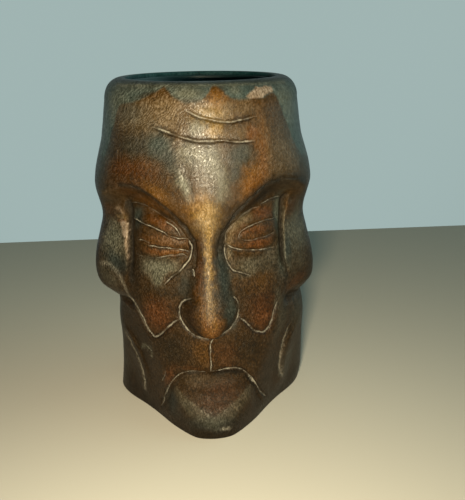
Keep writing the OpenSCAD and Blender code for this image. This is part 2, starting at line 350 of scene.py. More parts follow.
def slabbed(wood, place, z):
    """Wood with the side slabs laid over it, and the jaw's lobes and the neck under them."""
    arc = np.abs(place)
    past_edge = past_side(place, z)
    soft = 1 - ease(64, 77, z)
    step = ease(-1 - 6 * soft, 0.7 + 3 * soft, past_edge)
    hang = z + 0.7 + 0.6 * np.sin(place / FACE_R)
    wood = mix(wood, slab_wood(past_edge, hang), step * ease(53, 56, hang) * (1 - ease(97, 106, z)))
    lobes = step * (1 - ease(2, 14, past_edge)) * ease(4, 14, z)
    wood = wood + lobes * (1 - ease(-1, 2, z - curve(arc, LOBE_TOP)))
    neck = ease(46, 60, arc) * ease(30, 44, z) * (1 - ease(50, 55, hang))
    return mix(wood, lobe_wood(z), neck)


def head_wood(place, z):
    """Wood outside the bore. Each step goes over the shape made before it."""
    arc = np.abs(place)
    turn = np.degrees(arc / FACE_R)
    wood = jaw_wood(turn, z) + mouth_wood(arc, z)
    wood = mix(wood, face_wood(arc, z), ease(-1.6, 1.4, above(arc, z, CHEEK_LINE)))
    wood = wood + eyelid_wood(arc, z)
    channel = ease(-5, -1.4, past_side(place, z)) * ease(68, 78, z) * (1 - ease(98, 104, z))
    wood = wood - channel
    wood = mix(wood, crown_wood(ease(30, 70, turn), z), ease(-6.5, 1.6, above(arc, z, BROW_LINE)))
    wood = slabbed(wood + frown(place, z), place, z)
    wood = nose_wood(arc, z, wood) + curve(z, LEAN) * np.sin(place / FACE_R)
    return mix(wood, back_wood(z), ease(105, 122, turn) * (1 - ease(97.5, 107.5, z)))


def undercut(place, z):
    """How far the slabs' front edges reach over the face beside them, as an arc towards +X."""
    past_edge = past_side(place, z)
    high = ease(78, 90, z)
    reach = np.where(place > 0, 0.8 * high - 3.8, 2.2 - 1.6 * ease(89, 100, z))
    reach = reach * ease(64, 76, z) * (1 - ease(98, 104, z))
    return reach * ease(-1.2, 0.9, past_edge) * (1 - ease(1, 14, past_edge))


# ---------------------------------------------------------- incised lines
# name: (half width in millimetres, share of the full depth, paleness, [(arc, height), ...])

CUTS = {
    "brow_crease_left": (1.3, 0.9, 0, [
        (-44, 108.4), (-38, 110.2), (-31, 110.2), (-25, 108), (-19, 104.3), (-13, 99.2), (-8.6, 94.4),
        (-6, 89.5), (-5.2, 84), (-5.4, 78)]),
    "brow_crease_right": (1.3, 1.1, 0, [
        (5, 79), (4.7, 85), (6.2, 91.4), (9.4, 96.6), (13.6, 101), (19, 106), (26, 109.6), (33, 110.8),
        (42, 110)]),
    "wrinkle_upper": (0.85, 1.1, 0.42, [
        (-7, 140), (-3, 138.3), (2, 136.9), (7, 136), (12, 135.7), (17, 136.2), (22, 136.9)]),
    "wrinkle_lower": (0.85, 1.1, 0.4, [
        (-20, 134), (-16, 132.8), (-11, 131.2), (-6, 129.9), (-1, 128.9), (5, 128.9), (10, 128.5),
        (15, 127.9), (20, 127.9)]),
    "socket_left_end": (0.5, 0.6, 0.45, [(-38.5, 101.6), (-34, 102.2), (-30.5, 102.2), (-27, 101.4)]),
    "socket_left_top": (0.5, 0.6, 0.1, [
        (-27, 101.4), (-23.7, 100.2), (-20, 98.8), (-16, 97.4), (-12.6, 95.2), (-10, 92.4), (-8.4, 90)]),
    "lid_left_top": (0.5, 0.8, 0.55, [(-17.5, 96.7), (-14, 95), (-12.3, 93), (-11.2, 91.2)]),
    "lid_left_one": (0.5, 0.9, 0.5, [
        (-38.5, 95), (-33, 95), (-29.2, 94.7), (-23.2, 94), (-18.7, 92.5), (-15.5, 91), (-12, 90.1),
        (-8.2, 90)]),
    "lid_left_two": (0.5, 0.8, 0.35, [(-31, 87.8), (-27.5, 87.7), (-24.7, 87.3)]),
    "lid_left_three": (0.55, 0.9, 0.5, [(-25.5, 86.3), (-19, 86), (-13, 85.7), (-8, 84.4)]),
    "lid_left_four": (0.5, 0.8, 0.42, [
        (-33, 80.4), (-27.2, 80), (-20.5, 81.4), (-15.2, 82.9), (-10.7, 83), (-8.6, 82.2)]),
    "socket_left": (0.62, 1.0, 0.5, [
        (-8.2, 90), (-7.3, 87.7), (-6.9, 85.5), (-7.6, 82.2), (-9.8, 79), (-13.2, 75.3), (-16.5, 72.8),
        (-19, 70)]),
    "nose_side_left": (0.55, 0.6, 0.55, [(-6.8, 77.4), (-6.5, 76), (-6.3, 74.2)]),
    "socket_right": (0.6, 1.0, 0.14, [
        (25, 100.2), (21.2, 99.5), (15.5, 98), (10.3, 94.8), (8, 92), (7.4, 88.5)]),
    "socket_right_low": (0.6, 1.0, 0.4, [
        (7.5, 87.5), (7.3, 82.5), (8.5, 78.8), (10.5, 75.8), (14.5, 73.8), (18.2, 72.2)]),
    "socket_right_end": (0.5, 0.6, 0.35, [(41, 101.7), (34.7, 102), (29.7, 101.6), (26, 101)]),
    "lid_right_one": (0.45, 0.8, 0.3, [
        (12.4, 89.2), (13.3, 90.8), (14.8, 92.1), (19.5, 93.8), (26, 94.6), (32, 94), (39, 92.8)]),
    "lid_right_two": (0.5, 0.8, 0.3, [(13, 88.5), (17.5, 87.8), (23.5, 87.7), (28.7, 87.6), (33, 88.1)]),
    "lid_right_three": (0.6, 1.1, 0.5, [
        (7.8, 87.1), (9.3, 85.5), (14.7, 83.8), (21, 82.6), (27, 81.6), (34, 81)]),
    "cheek_left": (0.9, 0.9, 0.48, [
        (-43.5, 58.8), (-38.5, 57.6), (-35.2, 54.4), (-32.3, 50.3), (-30, 46.4), (-27, 43.9), (-24, 45.4),
        (-20, 49), (-16, 53), (-13.2, 55)]),
    "cheek_right": (0.85, 0.9, 0.34, [
        (12, 55), (15.3, 51.8), (18.3, 48), (21, 46.1), (24.6, 45.2), (27, 47), (29.2, 50.6), (31.8, 54.8),
        (34.2, 58)]),
    "nostril_left": (0.8, 0.9, 0.42, [
        (-7.5, 65.6), (-10.6, 63.7), (-12.8, 60.6), (-13.2, 57), (-12, 53.4), (-9.8, 50.2), (-6.4, 47.6),
        (-2.4, 46.3), (1.6, 46.8)]),
    "nostril_right": (0.65, 0.8, 0.28, [
        (1.6, 46.8), (5.2, 48.3), (8.6, 51), (11.4, 54.8), (12.3, 58.6), (11.4, 62.6), (9, 65.6)]),
    "philtrum": (0.65, 0.8, 0.5, [(0.9, 46.6), (-0.3, 43.5), (-0.5, 39), (-0.5, 34.5), (-0.6, 30.4)]),
    "mouth_left": (0.9, 1.0, 0.46, [
        (-29.7, 5.4), (-27, 10.6), (-24, 16.2), (-20.4, 21.4), (-16.2, 26.4), (-12, 29.1), (-6.5, 29.6),
        (-0.8, 29.9)]),
    "mouth_right": (0.9, 1.2, 0.54, [
        (-0.6, 30.1), (4.5, 30.4), (9, 30.9), (12.3, 30), (14.2, 28), (16.8, 24.4), (19.8, 20), (23, 15.6),
        (26.3, 11.8), (29.8, 8)]),
    "lobe_left": (1.2, 0.8, 0.3, [
        (-53, 36), (-49, 31), (-45.6, 26), (-43.8, 20.5), (-43.4, 15), (-44.6, 9)]),
    "lobe_right": (1.1, 0.8, 0.2, [
        (45, 42), (41.6, 38), (39.8, 33), (39.2, 27), (39.6, 21), (41.6, 16), (44.6, 13)]),
    "scratch_brow_left": (0.5, 0.4, 0.35, [(-35, 36.4), (-32.5, 35.2), (-30, 35.4)]),
    "scratch_lip_left": (0.5, 0.4, 0.25, [(-22.3, 28), (-24, 24), (-26.5, 20.6)]),
}


def smooth_path(points, step):
    """Points at an even step along a smooth path through the given ones."""
    p = np.array(points, float)
    along = np.concatenate([[0], np.cumsum(np.hypot(*np.diff(p, axis=0).T))])
    t = np.linspace(0, along[-1], max(2, int(along[-1] / step) + 1))
    return np.stack([curve(t, np.stack([along, p[:, i]], 1)) for i in (0, 1)], 1), t / along[-1]


# ------------------------------------------------------------ mesh helpers


def skin_point(place, z, wood):
    """Where a thickness of wood over a place lies, in metres."""
    turn = place / FACE_R
    r = BORE_R + wood
    return np.stack([r * np.sin(turn), -r * np.cos(turn), z + 0 * r], -1) * MM


def make_mesh(name, points, faces):
    """A smooth-shaded mesh of points in metres."""
    mesh = bpy.data.meshes.new(name)
    mesh.from_pydata(np.asarray(points).reshape(-1, 3).tolist(), [], faces)
    mesh.update()
    mesh.shade_smooth()
    return mesh


def make_object(name, data):
    """An object of a mesh, a light or a camera, linked to the scene."""
    thing = bpy.data.objects.new(name, data)
    bpy.context.scene.collection.objects.link(thing)
    return thing


def ring_faces(rings, columns):
    """Quads between rings of the same number of points, outwards for rings that go up."""
    i = np.arange(columns)
    k = (i + 1) % columns
    faces = []
    for j in range(rings - 1):
        p, q = j * columns, (j + 1) * columns
        faces += np.stack([p + i, p + k, q + k, q + i], 1).tolist()
    return faces


def turned_mesh(name, profile, segments):
    """A closed solid turned about the axis from (radius, height) in metres.

    The profile starts and ends on the axis and goes round the solid."""
    turn = np.arange(segments) * 2 * math.pi / segments
    inner = profile[1:-1]
    rings = [np.stack([r * np.sin(turn), -r * np.cos(turn), h + 0 * turn], 1) for r, h in inner]
    points = np.concatenate([*rings, [[0, 0, profile[0][1]], [0, 0, profile[-1][1]]]])
    faces = ring_faces(len(inner), segments)
    low, high = len(inner) * segments, len(inner) * segments + 1
    last = (len(inner) - 1) * segments
    for i in range(segments):
        k = (i + 1) % segments
        faces += [(low, k, i), (high, last + i, last + k)]
    return make_mesh(name, points, faces)


def round_corner(centre, radius, start, end, steps=5):
    """Points of an arc in a profile, with its angles in degrees."""
    turns = np.radians(np.linspace(start, end, steps))
    return [(centre[0] + radius * math.cos(t), centre[1] + radius * math.sin(t)) for t in turns]


def store(mesh, name, values, kind="FLOAT"):
    """Keeps a value for each point of the mesh as a named attribute."""
    layer = mesh.attributes.new(name, kind, "POINT")
    key = "color" if kind == "FLOAT_COLOR" else "value"
    layer.data.foreach_set(key, np.asarray(values, np.float32).ravel())


def plain_mesh(piece, name):
    """The piece's mesh with its modifiers taken up into it."""
    depsgraph = bpy.context.evaluated_depsgraph_get()
    mesh = bpy.data.meshes.new_from_object(piece.evaluated_get(depsgraph), depsgraph=depsgraph)
    mesh.name = name
    old = piece.data
    piece.modifiers.clear()
    piece.data = mesh
    bpy.data.meshes.remove(old)
    return mesh


# ------------------------------------------------------ geometry node trees


class NodeTree:
    """Adds nodes and links to a tree in few words."""

    def __init__(self, tree):
        self.tree = tree

    def add(self, kind, inputs=(), **settings):
        """A node with its settings, and its inputs linked or set."""
        node = self.tree.nodes.new(kind)
        for key, value in settings.items():
            setattr(node, key, value)
        for key, value in dict(inputs).items():
            self.set(node.inputs[key], value)
        return node

    def set(self, socket, value):
        if isinstance(value, bpy.types.NodeSocket):
            self.tree.links.new(value, socket)
        else:
            socket.default_value = value

    def math(self, operation, *values, clamp=False):
        node = self.add("ShaderNodeMath", operation=operation, use_clamp=clamp)
        for socket, value in zip(node.inputs, values):
            self.set(socket, value)
        return node.outputs[0]

    def vector(self, operation, *values, scale=None):
        node = self.add("ShaderNodeVectorMath", operation=operation)
        for socket, value in zip(node.inputs, values):
            self.set(socket, value)
        if scale is not None:
            self.set(node.inputs["Scale"], scale)
        return node.outputs[0]

    def product(self, first, *others):
        """Multiplies the values in their order."""
        for other in others:
            first = self.math("MULTIPLY", first, other)
        return first

    def ramp(self, value, low, high, start=0.0, end=1.0):
        """Goes without a kink from start at low to end at high."""
        node = self.add("ShaderNodeMapRange", interpolation_type="SMOOTHSTEP")
        for key, given in zip(("Value", "From Min", "From Max", "To Min", "To Max"),
                              (value, low, high, start, end)):
            self.set(node.inputs[key], given)
        return node.outputs["Result"]

    def noise(self, place, scale, detail, seed=None, **others):
        """A noise of three dimensions, or with a seed of four; others are its other inputs."""
        inputs = {"Vector": place, "Scale": scale, "Detail": detail, **others}
        if seed is None:
            return self.add("ShaderNodeTexNoise", inputs).outputs[0]
        return self.add("ShaderNodeTexNoise", {**inputs, "W": seed}, noise_dimensions="4D").outputs[0]


def geometry_tree(name, sockets):
    """A tree with a geometry in and out and the named inputs."""
    tree = bpy.data.node_groups.new(name, "GeometryNodeTree")
    tree.interface.new_socket("Geometry", in_out="INPUT", socket_type="NodeSocketGeometry")
    tree.interface.new_socket("Geometry", in_out="OUTPUT", socket_type="NodeSocketGeometry")
    for label, kind in sockets.items():
        tree.interface.new_socket(label, in_out="INPUT", socket_type=kind)
    nodes = NodeTree(tree)
    return nodes, nodes.add("NodeGroupInput").outputs, nodes.add("NodeGroupOutput").inputs


def apply_tree(piece, nodes, values):
    """Puts a tree on a piece as a modifier, with its inputs set."""
    modifier = piece.modifiers.new(nodes.tree.name, "NODES")
    modifier.node_group = nodes.tree
    for item in nodes.tree.interface.items_tree:
        if item.in_out == "INPUT" and item.name in values:
            modifier[item.identifier] = values[item.name]


def own_value(nodes, name):
    """A value that the mesh carries under a name, in a geometry tree."""
    return nodes.add("GeometryNodeInputNamedAttribute", {"Name": name}).outputs[0]


def end_tree(nodes, skin, given, result):
    """Ends a geometry tree in one plain mesh with its finish."""
    skin = nodes.add("GeometryNodeRealizeInstances", {"Geometry": skin}).outputs[0]
    finished = nodes.add("GeometryNodeSetMaterial", {"Geometry": skin, "Material": given["Finish"]})
    nodes.set(result["Geometry"], finished.outputs[0])


def cut_tree():
    """Sinks a V-shaped groove into the skin along every incised line.

    It leaves how far each point is from its line, and how pale the line is."""
    nodes, given, result = geometry_tree("Incised lines", {
        "Lines": "NodeSocketObject", "Depth": "NodeSocketFloat", "Finish": "NodeSocketMaterial"})
    lines = nodes.add("GeometryNodeObjectInfo", {"Object": given["Lines"]}).outputs["Geometry"]
    position = nodes.add("GeometryNodeInputPosition").outputs[0]
    where = {"Geometry": lines, "Sample Position": position}
    near = nodes.add("GeometryNodeProximity", where, target_element="EDGES").outputs["Distance"]
    index = nodes.add("GeometryNodeSampleNearest", where).outputs[0]

    def line_value(name):
        source = {"Geometry": lines, "Value": own_value(nodes, name), "Index": index}
        return nodes.add("GeometryNodeSampleIndex", source).outputs[0]

    carved = own_value(nodes, "carved")
    across = nodes.math("DIVIDE", near, line_value("half_width"))
    groove = nodes.math("POWER", nodes.math("SUBTRACT", 1.0, across, clamp=True), 1.2)
    burr = nodes.product(nodes.ramp(across, 0.9, 1.2), nodes.ramp(across, 2.0, 1.3), 0.1)
    valley = nodes.product(nodes.ramp(across, 3.4, 0.4), 0.4)
    sink = nodes.math("ADD", valley, nodes.math("SUBTRACT", groove, burr))
    sink = nodes.product(sink, line_value("depth"), nodes.product(given["Depth"], carved))
    normal = nodes.add("GeometryNodeInputNormal").outputs[0]
    offset = nodes.vector("SCALE", normal, scale=nodes.product(sink, -1.0))
    skin = given["Geometry"]
    kept = {"cut_across": across, "cut_pale": nodes.product(line_value("pale"), carved)}
    for name, value in kept.items():
        skin = nodes.add("GeometryNodeStoreNamedAttribute",
                         {"Geometry": skin, "Name": name, "Value": value}).outputs[0]
    skin = nodes.add("GeometryNodeSetPosition", {"Geometry": skin, "Offset": offset}).outputs[0]
    end_tree(nodes, skin, given, result)
    return nodes


def hand_tree():
    """Unevenness of hand work: a slow swell, shallow gouge facets and fine folds."""
    nodes, given, result = geometry_tree("Hand carving", {
        "Swell": "NodeSocketFloat", "Facet": "NodeSocketFloat", "Crinkle": "NodeSocketFloat",
        "Seed": "NodeSocketInt", "Finish": "NodeSocketMaterial"})
    seed = given["Seed"]
    position = nodes.add("GeometryNodeInputPosition").outputs[0]
    upright = nodes.vector("MULTIPLY", position, (1.0, 1.0, 0.42))
    slow = nodes.noise(position, 70.0, 2.0, seed)
    swell = nodes.product(nodes.math("SUBTRACT", slow, 0.5), given["Swell"])
    cell = nodes.add(
        "ShaderNodeTexVoronoi", {"Vector": upright, "W": seed, "Scale": 150.0, "Smoothness": 0.25},
        voronoi_dimensions="4D", feature="SMOOTH_F1").outputs["Distance"]
    facet = nodes.product(nodes.math("SUBTRACT", cell, 0.5), own_value(nodes, "rough_hewn"), given["Facet"])
    fold = nodes.noise(upright, 420.0, 2.0, seed, Distortion=1.6)
    fold = nodes.ramp(nodes.math("ABSOLUTE", nodes.math("SUBTRACT", fold, 0.5)), 0.0, 0.12, -1.0, 0.0)
    fold = nodes.product(fold, own_value(nodes, "folded"), given["Crinkle"])
    height = nodes.math("ADD", nodes.math("ADD", swell, facet), fold)
    height = nodes.product(height, own_value(nodes, "carved"))
    normal = nodes.add("GeometryNodeInputNormal").outputs[0]
    skin = nodes.add("GeometryNodeSetPosition", {
        "Geometry": given["Geometry"], "Offset": nodes.vector("SCALE", normal, scale=height)}).outputs[0]
    end_tree(nodes, skin, given, result)
    return nodes


# -------------------------------------------------------------- the pieces


# Rows of points round the edges at the foot and the mouth, and how much further apart than
# the columns the rows between them lie.
FOOT_ROWS, RIM_ROWS = 5, 23
ROW_STRETCH = 1.06


def face_columns(cell):
    """Arcs at which the skin is cut: close over the face, wide round the back."""
    half = math.pi * FACE_R
    places = [0.0]
    while places[-1] < half:
        s = places[-1]
        places.append(s + cell * (1 + 0.75 * float(ease(32, 60, s)) + 4.0 * float(ease(60, 115, s))))
    inner = np.array(places[:-1]) * half / places[-1]
    return np.concatenate([-inner[:0:-1], inner, [half]])


def skin_rows(sizes, cell):
    """Heights and how much of the foot's edge is worn off at each."""
    foot = sizes.foot_round / MM
    low = foot * (1 - np.cos(np.linspace(0, math.pi / 2, FOOT_ROWS)[:-1]))
    middle = np.linspace(foot, SHOULDER, int((SHOULDER - foot) / cell) + 1)
    rim = SHOULDER + RIM_ROUND * np.sin(np.linspace(0, math.pi / 2, RIM_ROWS)[1:])
    z = np.concatenate([low, middle, rim])
    worn = foot * (1 - np.sqrt(1 - (1 - np.clip(z / foot, 0, 1)) ** 2))
    return z, worn


def fold_share(arc, z):
    """How far the lacquered skin is folded: most on the forehead, some in tufts on the jaw."""
    forehead = ease(104, 116, z) * (0.35 + 0.65 * ease(-2, -14, arc))
    forehead = forehead * (1 - 0.6 * ease(36, 60, np.abs(arc)))
    jaw = 0.3 * (1 - ease(60, 95, z))
    tufts = np.exp(-(((arc + 27) / 9) ** 2) - ((z - 39) / 6) ** 2)
    tufts = tufts + np.exp(-(((arc - 17) / 6) ** 2) - ((z - 41) / 5) ** 2)
    return (forehead + jaw + 0.7 * tufts) * (1 - bared_share(arc, z))


def head_mesh(sizes, carving):
    """The carved skin, closed over the mouth's edge, down the bore and under the foot."""
    cell = carving.cell / MM
    places = face_columns(cell)
    z, worn = skin_rows(sizes, cell * ROW_STRETCH)
    arc, height = np.meshgrid(places, z)
    skin = skin_point(arc, height, head_wood(arc, height) - worn[:, None])
    bevel = sizes.bore_bevel / MM
    inside = [(bevel, MUG_H), (bevel * 0.3, MUG_H - bevel * 0.3), (0, MUG_H - bevel), (0, MUG_H - 6),
              (0, MUG_H / 2), (0, bevel), (bevel, 0)]
    bore = [skin_point(places, h + 0 * places, w) for w, h in inside]
    under = [mix(bore[-1], skin[0], t) for t in (0.25, 0.5, 0.75)]
    rings = np.concatenate([skin, np.array(bore), np.array(under)])
    count = len(places)
    faces = ring_faces(len(rings), count)
    i = np.arange(count)
    k = (i + 1) % count
    last = (len(rings) - 1) * count
    faces += np.stack([last + i, last + k, k, i], 1).tolist()
    mesh = make_mesh("carved_head", rings, faces)
    carved = np.zeros((len(rings), count))
    carved[: len(z)] = (ease(0, 3, z) * (1 - ease(MUG_H - 2.5, MUG_H, z)))[:, None]
    folded = np.zeros((len(rings), count))
    folded[: len(z)] = fold_share(arc, height)
    store(mesh, "carved", carved)
    store(mesh, "rough_hewn", np.where(carved > 0, 0.15 + 0.85 * ease(60, 100, np.abs(places)), 0))
    store(mesh, "folded", folded)
    return mesh


def refine(mesh, lines, reach=1.3 * MM):
    """Halves the skin's squares within reach of the incised lines, laid on the relief again."""
    near = kdtree.KDTree(len(lines.data.vertices))
    for vertex in lines.data.vertices:
        near.insert(vertex.co, vertex.index)
    near.balance()
    work = bmesh.new()
    work.from_mesh(mesh)
    skin = [f for f in work.faces if near.find(f.calc_center_median())[2] < reach]
    edges = list({edge for face in skin for edge in face.edges})
    made = bmesh.ops.subdivide_edges(work, edges=edges, cuts=1, use_grid_fill=True)
    fresh = [v for v in made["geom_inner"] if isinstance(v, bmesh.types.BMVert)]
    x, y, z = np.array([v.co for v in fresh]).T / MM
    place = np.arctan2(x, -y) * FACE_R
    for vertex, point in zip(fresh, skin_point(place, z, head_wood(place, z))):
        vertex.co = point
    work.to_mesh(mesh)
    work.free()
    mesh.shade_smooth()


def cut_lines(step=0.3, wander=0.3):
    """The incised lines as edges that lie on the skin, as unsteady as a hand cuts them.

    Both the step along them and how far they wander are in millimetres."""
    points, edges, width, depth, pale = [], [], [], [], []
    for half_width, deep, paleness, way in CUTS.values():
        path, t = smooth_path(way, step)
        first = len(width)
        stray = np.array([noise.noise_vector(Vector((a, h, first)) * 0.3) for a, h in path])
        path = path + wander * stray[:, :2]
        taper = np.clip(np.minimum(t, 1 - t) * 9 + 0.25, 0, 1) * (1 + 0.7 * stray[:, 2])
        points.append(skin_point(*path.T, head_wood(*path.T)))
        edges += [(first + i, first + i + 1) for i in range(len(path) - 1)]
        width += (half_width * MM * (0.55 + 0.45 * taper)).tolist()
        depth += (deep * taper).tolist()
        pale += (paleness * np.clip(taper * (1 + 1.1 * stray[:, 0]), 0, 1.2)).tolist()
    mesh = bpy.data.meshes.new("cut_lines")
    mesh.from_pydata(np.concatenate(points).tolist(), edges, [])
    for name, values in (("half_width", width), ("depth", depth), ("pale", pale)):
        store(mesh, name, values)
    return make_object("cut_lines", mesh)


def mesh_points(mesh):
    """The mesh's points in metres, one in each row."""
    points = np.empty(len(mesh.vertices) * 3, np.float32)
    mesh.vertices.foreach_get("co", points)
    return points.reshape(-1, 3)


def move_points(mesh, points):
    """Sets the places of the mesh's points, in metres."""
    mesh.vertices.foreach_set("co", points.astype(np.float32).ravel())
    mesh.update()


def reach_over(mesh):
    """Draws the slabs' front edges over the face, so that their inner walls run straight back."""
    points = mesh_points(mesh)
    x, y, z = points.T / MM
    r = np.hypot(x, y)
    place = np.arctan2(x, -y) * FACE_R
    turn = (place + np.where(r > BORE_R + 2, undercut(place, z), 0)) / FACE_R
    move_points(mesh, np.stack([r * np.sin(turn), -r * np.cos(turn), z], 1) * MM)


def cut_askew(mesh):
    """Tilts the mouth as it was sawn by eye: a little higher at the back and towards -X."""
    points = mesh_points(mesh).astype(float)
    x, y, z = points.T / MM
    r = np.maximum(np.hypot(x, y), 1)
    points[:, 2] += MM * (0.6 + 0.45 * y / r - 0.25 * x / r) * ease(120, 150, z)
    move_points(mesh, points)


# --------------------------------------------------------------- the stain
# How the stain's borders wander: noise per metre, and how far in millimetres.
BROAD, FINE = 230, 700
RAGGED, CRISP = 1.6, 0.4


def shine_share(arc, z, hollow):
    """How glossy the lacquer is: rubbed bright on the brow and the nose, dull in the hollows."""
    shine = 0.2 + 0.12 * ease(108, 125, z) + 0.3 * np.exp(-((arc / 3.5) ** 2)) * ease(46, 60, z)
    shine = shine + 0.27 * np.exp(-(((arc - 2) / 12) ** 4)) * ease(92, 106, z)
    shine = shine * (1 - 0.5 * ease(138, 144, z))
    groove = ease(3.5, 0.5, np.abs(past_side(arc, z) + 1)) * ease(62, 70, z) * (1 - ease(98, 106, z))
    return shine * (1 - 0.9 * groove) * (1 - 0.7 * ease(0.1, 0.9, hollow))


def fleck_share(arc, z):
    """How strongly the stain is flecked: under the brows and on the slab at -X, not on bare wood."""
    slab = ease(-41, -46, arc) * ease(62, 70, z) * (1 - ease(98, 106, z))
    flecked = 1 - ease(86, 104, z) + 0.6 * slab
    return flecked * (1 - chipped_share(arc, z)) * (1 - bared_share(arc, z))


def paint_head(mesh, finishes):
    """Colours every point of the skin by where it lies and how hollow it is there: stain and wear, with
    painted shade and highlight among them.
    """
    points = mesh_points(mesh)
    x, y, z = points.T / MM
    arc = np.arctan2(x, -y) * FACE_R
    broad = np.array([noise.noise_vector(Vector(p) * BROAD) for p in points])
    fine = np.array([noise.noise_vector(Vector(p) * FINE) for p in points])
    loose = broad + 0.6 * fine
    ragged = arc + RAGGED * loose[:, 0], z + RAGGED * loose[:, 1]
    crisp = arc + CRISP * fine[:, 0], z + CRISP * fine[:, 1]
    colour = stained_and_lit(*ragged, finishes)
    colour = rimmed(colour, *crisp, finishes)
    colour = stroked(colour, *crisp, finishes)
    hollow = hollowness(arc, z)
    # Darker in the hollows, as stain left there and as painted shade; lighter on raised places, where the
    # stain is rubbed thin.
    colour = laid_over(colour, finishes.tar_and_shade, 0.75 * ease(0.05, 0.9, hollow))
    colour = colour * (1 + 0.45 * ease(0.05, 0.9, -hollow))[:, None]
    inside = ease(1.2, 0.5, np.hypot(x, y) - BORE_R) * ease(20, 60, z)
    colour = laid_over(colour, finishes.lining, inside)
    # The stain attribute carries the painted shade and highlight as well as the stain.
    store(mesh, "stain", np.concatenate([colour, np.ones((len(arc), 1))], 1), "FLOAT_COLOR")
    store(mesh, "shine", shine_share(arc, z, hollow))
    store(mesh, "flecked", fleck_share(arc, z))


def hollowness(arc, z, reach=2.2):
    """How far a place lies below the skin around it within reach, in millimetres."""
    near = [(reach, 0), (-reach, 0), (0, reach), (0, -reach)]
    around = sum(head_wood(arc + a, np.clip(z + h, 0, MUG_H)) for a, h in near) / len(near)
    return (around - head_wood(arc, z)) * ease(2, 5, z) * (1 - ease(MUG_H - 9, MUG_H - 5, z))


def laid_over(colour, tone, share):
    """Colour with a tone laid over it, by a share for each point."""
    return mix(colour, np.array(tone), share[:, None])


def patched(colour, arc, z, patches, finishes):
    """Colour with soft oval patches laid over it."""
    for tone, strength, place, height, wide, high, turn in patches:
        u, v = arc - place, z - height
        c, s = math.cos(math.radians(turn)), math.sin(math.radians(turn))
        far = ((u * c + v * s) / wide) ** 2 + ((v * c - u * s) / high) ** 2
        colour = laid_over(colour, getattr(finishes, tone), strength * np.exp(-far**1.4))
    return colour


def stained_and_lit(arc, z, finishes):
    """Colour below the dark rim: the stain with its patches of wear, painted shade and painted highlight,
    darker towards the foot.
    """
    colour = np.tile(np.array(finishes.brown), (len(arc), 1))
    for patches in STAIN_AND_LIGHT.values():
        colour = patched(colour, arc, z, patches, finishes)
    return colour * curve(z, DARKER_LOW)[:, None]


def bared_share(arc, z):
    """How far the stain is rubbed off in the bare patch of the dark rim."""
    share = ease(0, 0.5, z - curve(arc, PATCH_LOW)) * ease(0, 0.5, curve(arc, PATCH_TOP) - z)
    return share * ease(18, 20, arc) * ease(34.5, 33.3, arc)


def chipped_share(arc, z):
    """How far the stain is chipped off along the front edge of the slab at -X."""
    share = ease(0, 0.5, arc - curve(z, CHIP_BACK)) * ease(0, 0.4, curve(z, CHIP_FRONT) - arc)
    return share * ease(74.6, 75.6, z) * ease(94.4, 93.8, z)


def rimmed(colour, arc, z, finishes):
    """Colour with what has a crisp border: the dark rim, bare wood and the worn lip with painted sheen."""
    soft = 0.7 + 13 * ease(52, 80, np.abs(arc))
    rim = ease(-soft, soft, z - curve(arc, RIM_STAIN))
    dark = np.tile(1.25 * np.array(finishes.slate), (len(arc), 1))
    colour = mix(colour, patched(dark, arc, z, RIM_PATCHES, finishes), 0.9 * rim[:, None])
    # Grey below the lower lip: worn stain with painted sheen on the chin.
    under_lip = -above(np.abs(arc), z, LIP_POINT)
    worn = ease(-0.3, 0.5, under_lip) * (1 - ease(2.5, 7, under_lip)) * ease(20, 15, np.abs(arc))
    colour = laid_over(colour, finishes.ash_and_sheen, 0.18 * worn)
    bare = 0.56 * np.array(finishes.bared)
    colour = laid_over(colour, bare, 0.95 * bared_share(arc, z))
    colour = laid_over(colour, bare, 0.85 * chipped_share(arc, z))
    return laid_over(colour, finishes.tar_and_shade, 0.5 * ease(148.4, 149.6, z))


def stroked(colour, arc, z, finishes):
    """Colour with the narrow strokes of stain, wear, painted shade and painted highlight laid over it."""
    for tone, strength, half_width, way in STROKES.values():
        path, _ = smooth_path(way, 0.6)
        far = np.full(len(arc), np.inf)
        for a, h in path:
            far = np.minimum(far, (arc - a) ** 2 + (z - h) ** 2)
        colour = laid_over(colour, getattr(finishes, tone), strength * np.exp(-far / half_width**2))
    return colour


# How light the colour is at each height: darker towards the foot, partly as painted shade near the floor,
# and lightest at the top: (height, share).
DARKER_LOW = [(0, 0.18), (6, 0.25), (15, 0.41), (45, 0.42), (62, 0.48), (75, 0.6), (95, 0.7), (112, 0.75),
           (125, 0.85), (150, 1)]

# Lower border of the dark rim, and both borders of the bare patch in it: (arc, height).
RIM_STAIN = [(-50, 120), (-44, 133), (-41, 140), (-35, 142), (-30, 143), (-24, 145), (-19, 147.2),
             (-17, 148.4), (-13.5, 146), (-10.5, 144), (-6.5, 142.7), (-1, 143.3), (1.5, 145),
             (3.5, 147.2), (5.5, 148.8), (8.5, 146.6), (11.5, 144.2), (15, 143.3), (22, 143.6),
             (27, 143.5), (33, 145), (36, 142), (38.5, 136), (44, 126), (50, 118)]
PATCH_LOW = [(18, 144.3), (20, 143.4), (26, 143.4), (30, 144.6), (34, 145.2)]
PATCH_TOP = [(18, 144.6), (21, 146), (25, 147.6), (34, 147.6)]

# Back and front border of the chips along the slab's front edge at -X: (height, arc).
CHIP_BACK = [(74.6, -39), (77, -39.8), (79.5, -40.6), (82, -41.2), (84, -42.2), (86.2, -42.4),
             (88, -43.9), (90, -45), (92.5, -46), (94.4, -46.2)]
CHIP_FRONT = [(74.6, -38.6), (79.5, -39.3), (84, -40), (88, -40.4), (92.5, -40.8), (94.4, -41.8)]
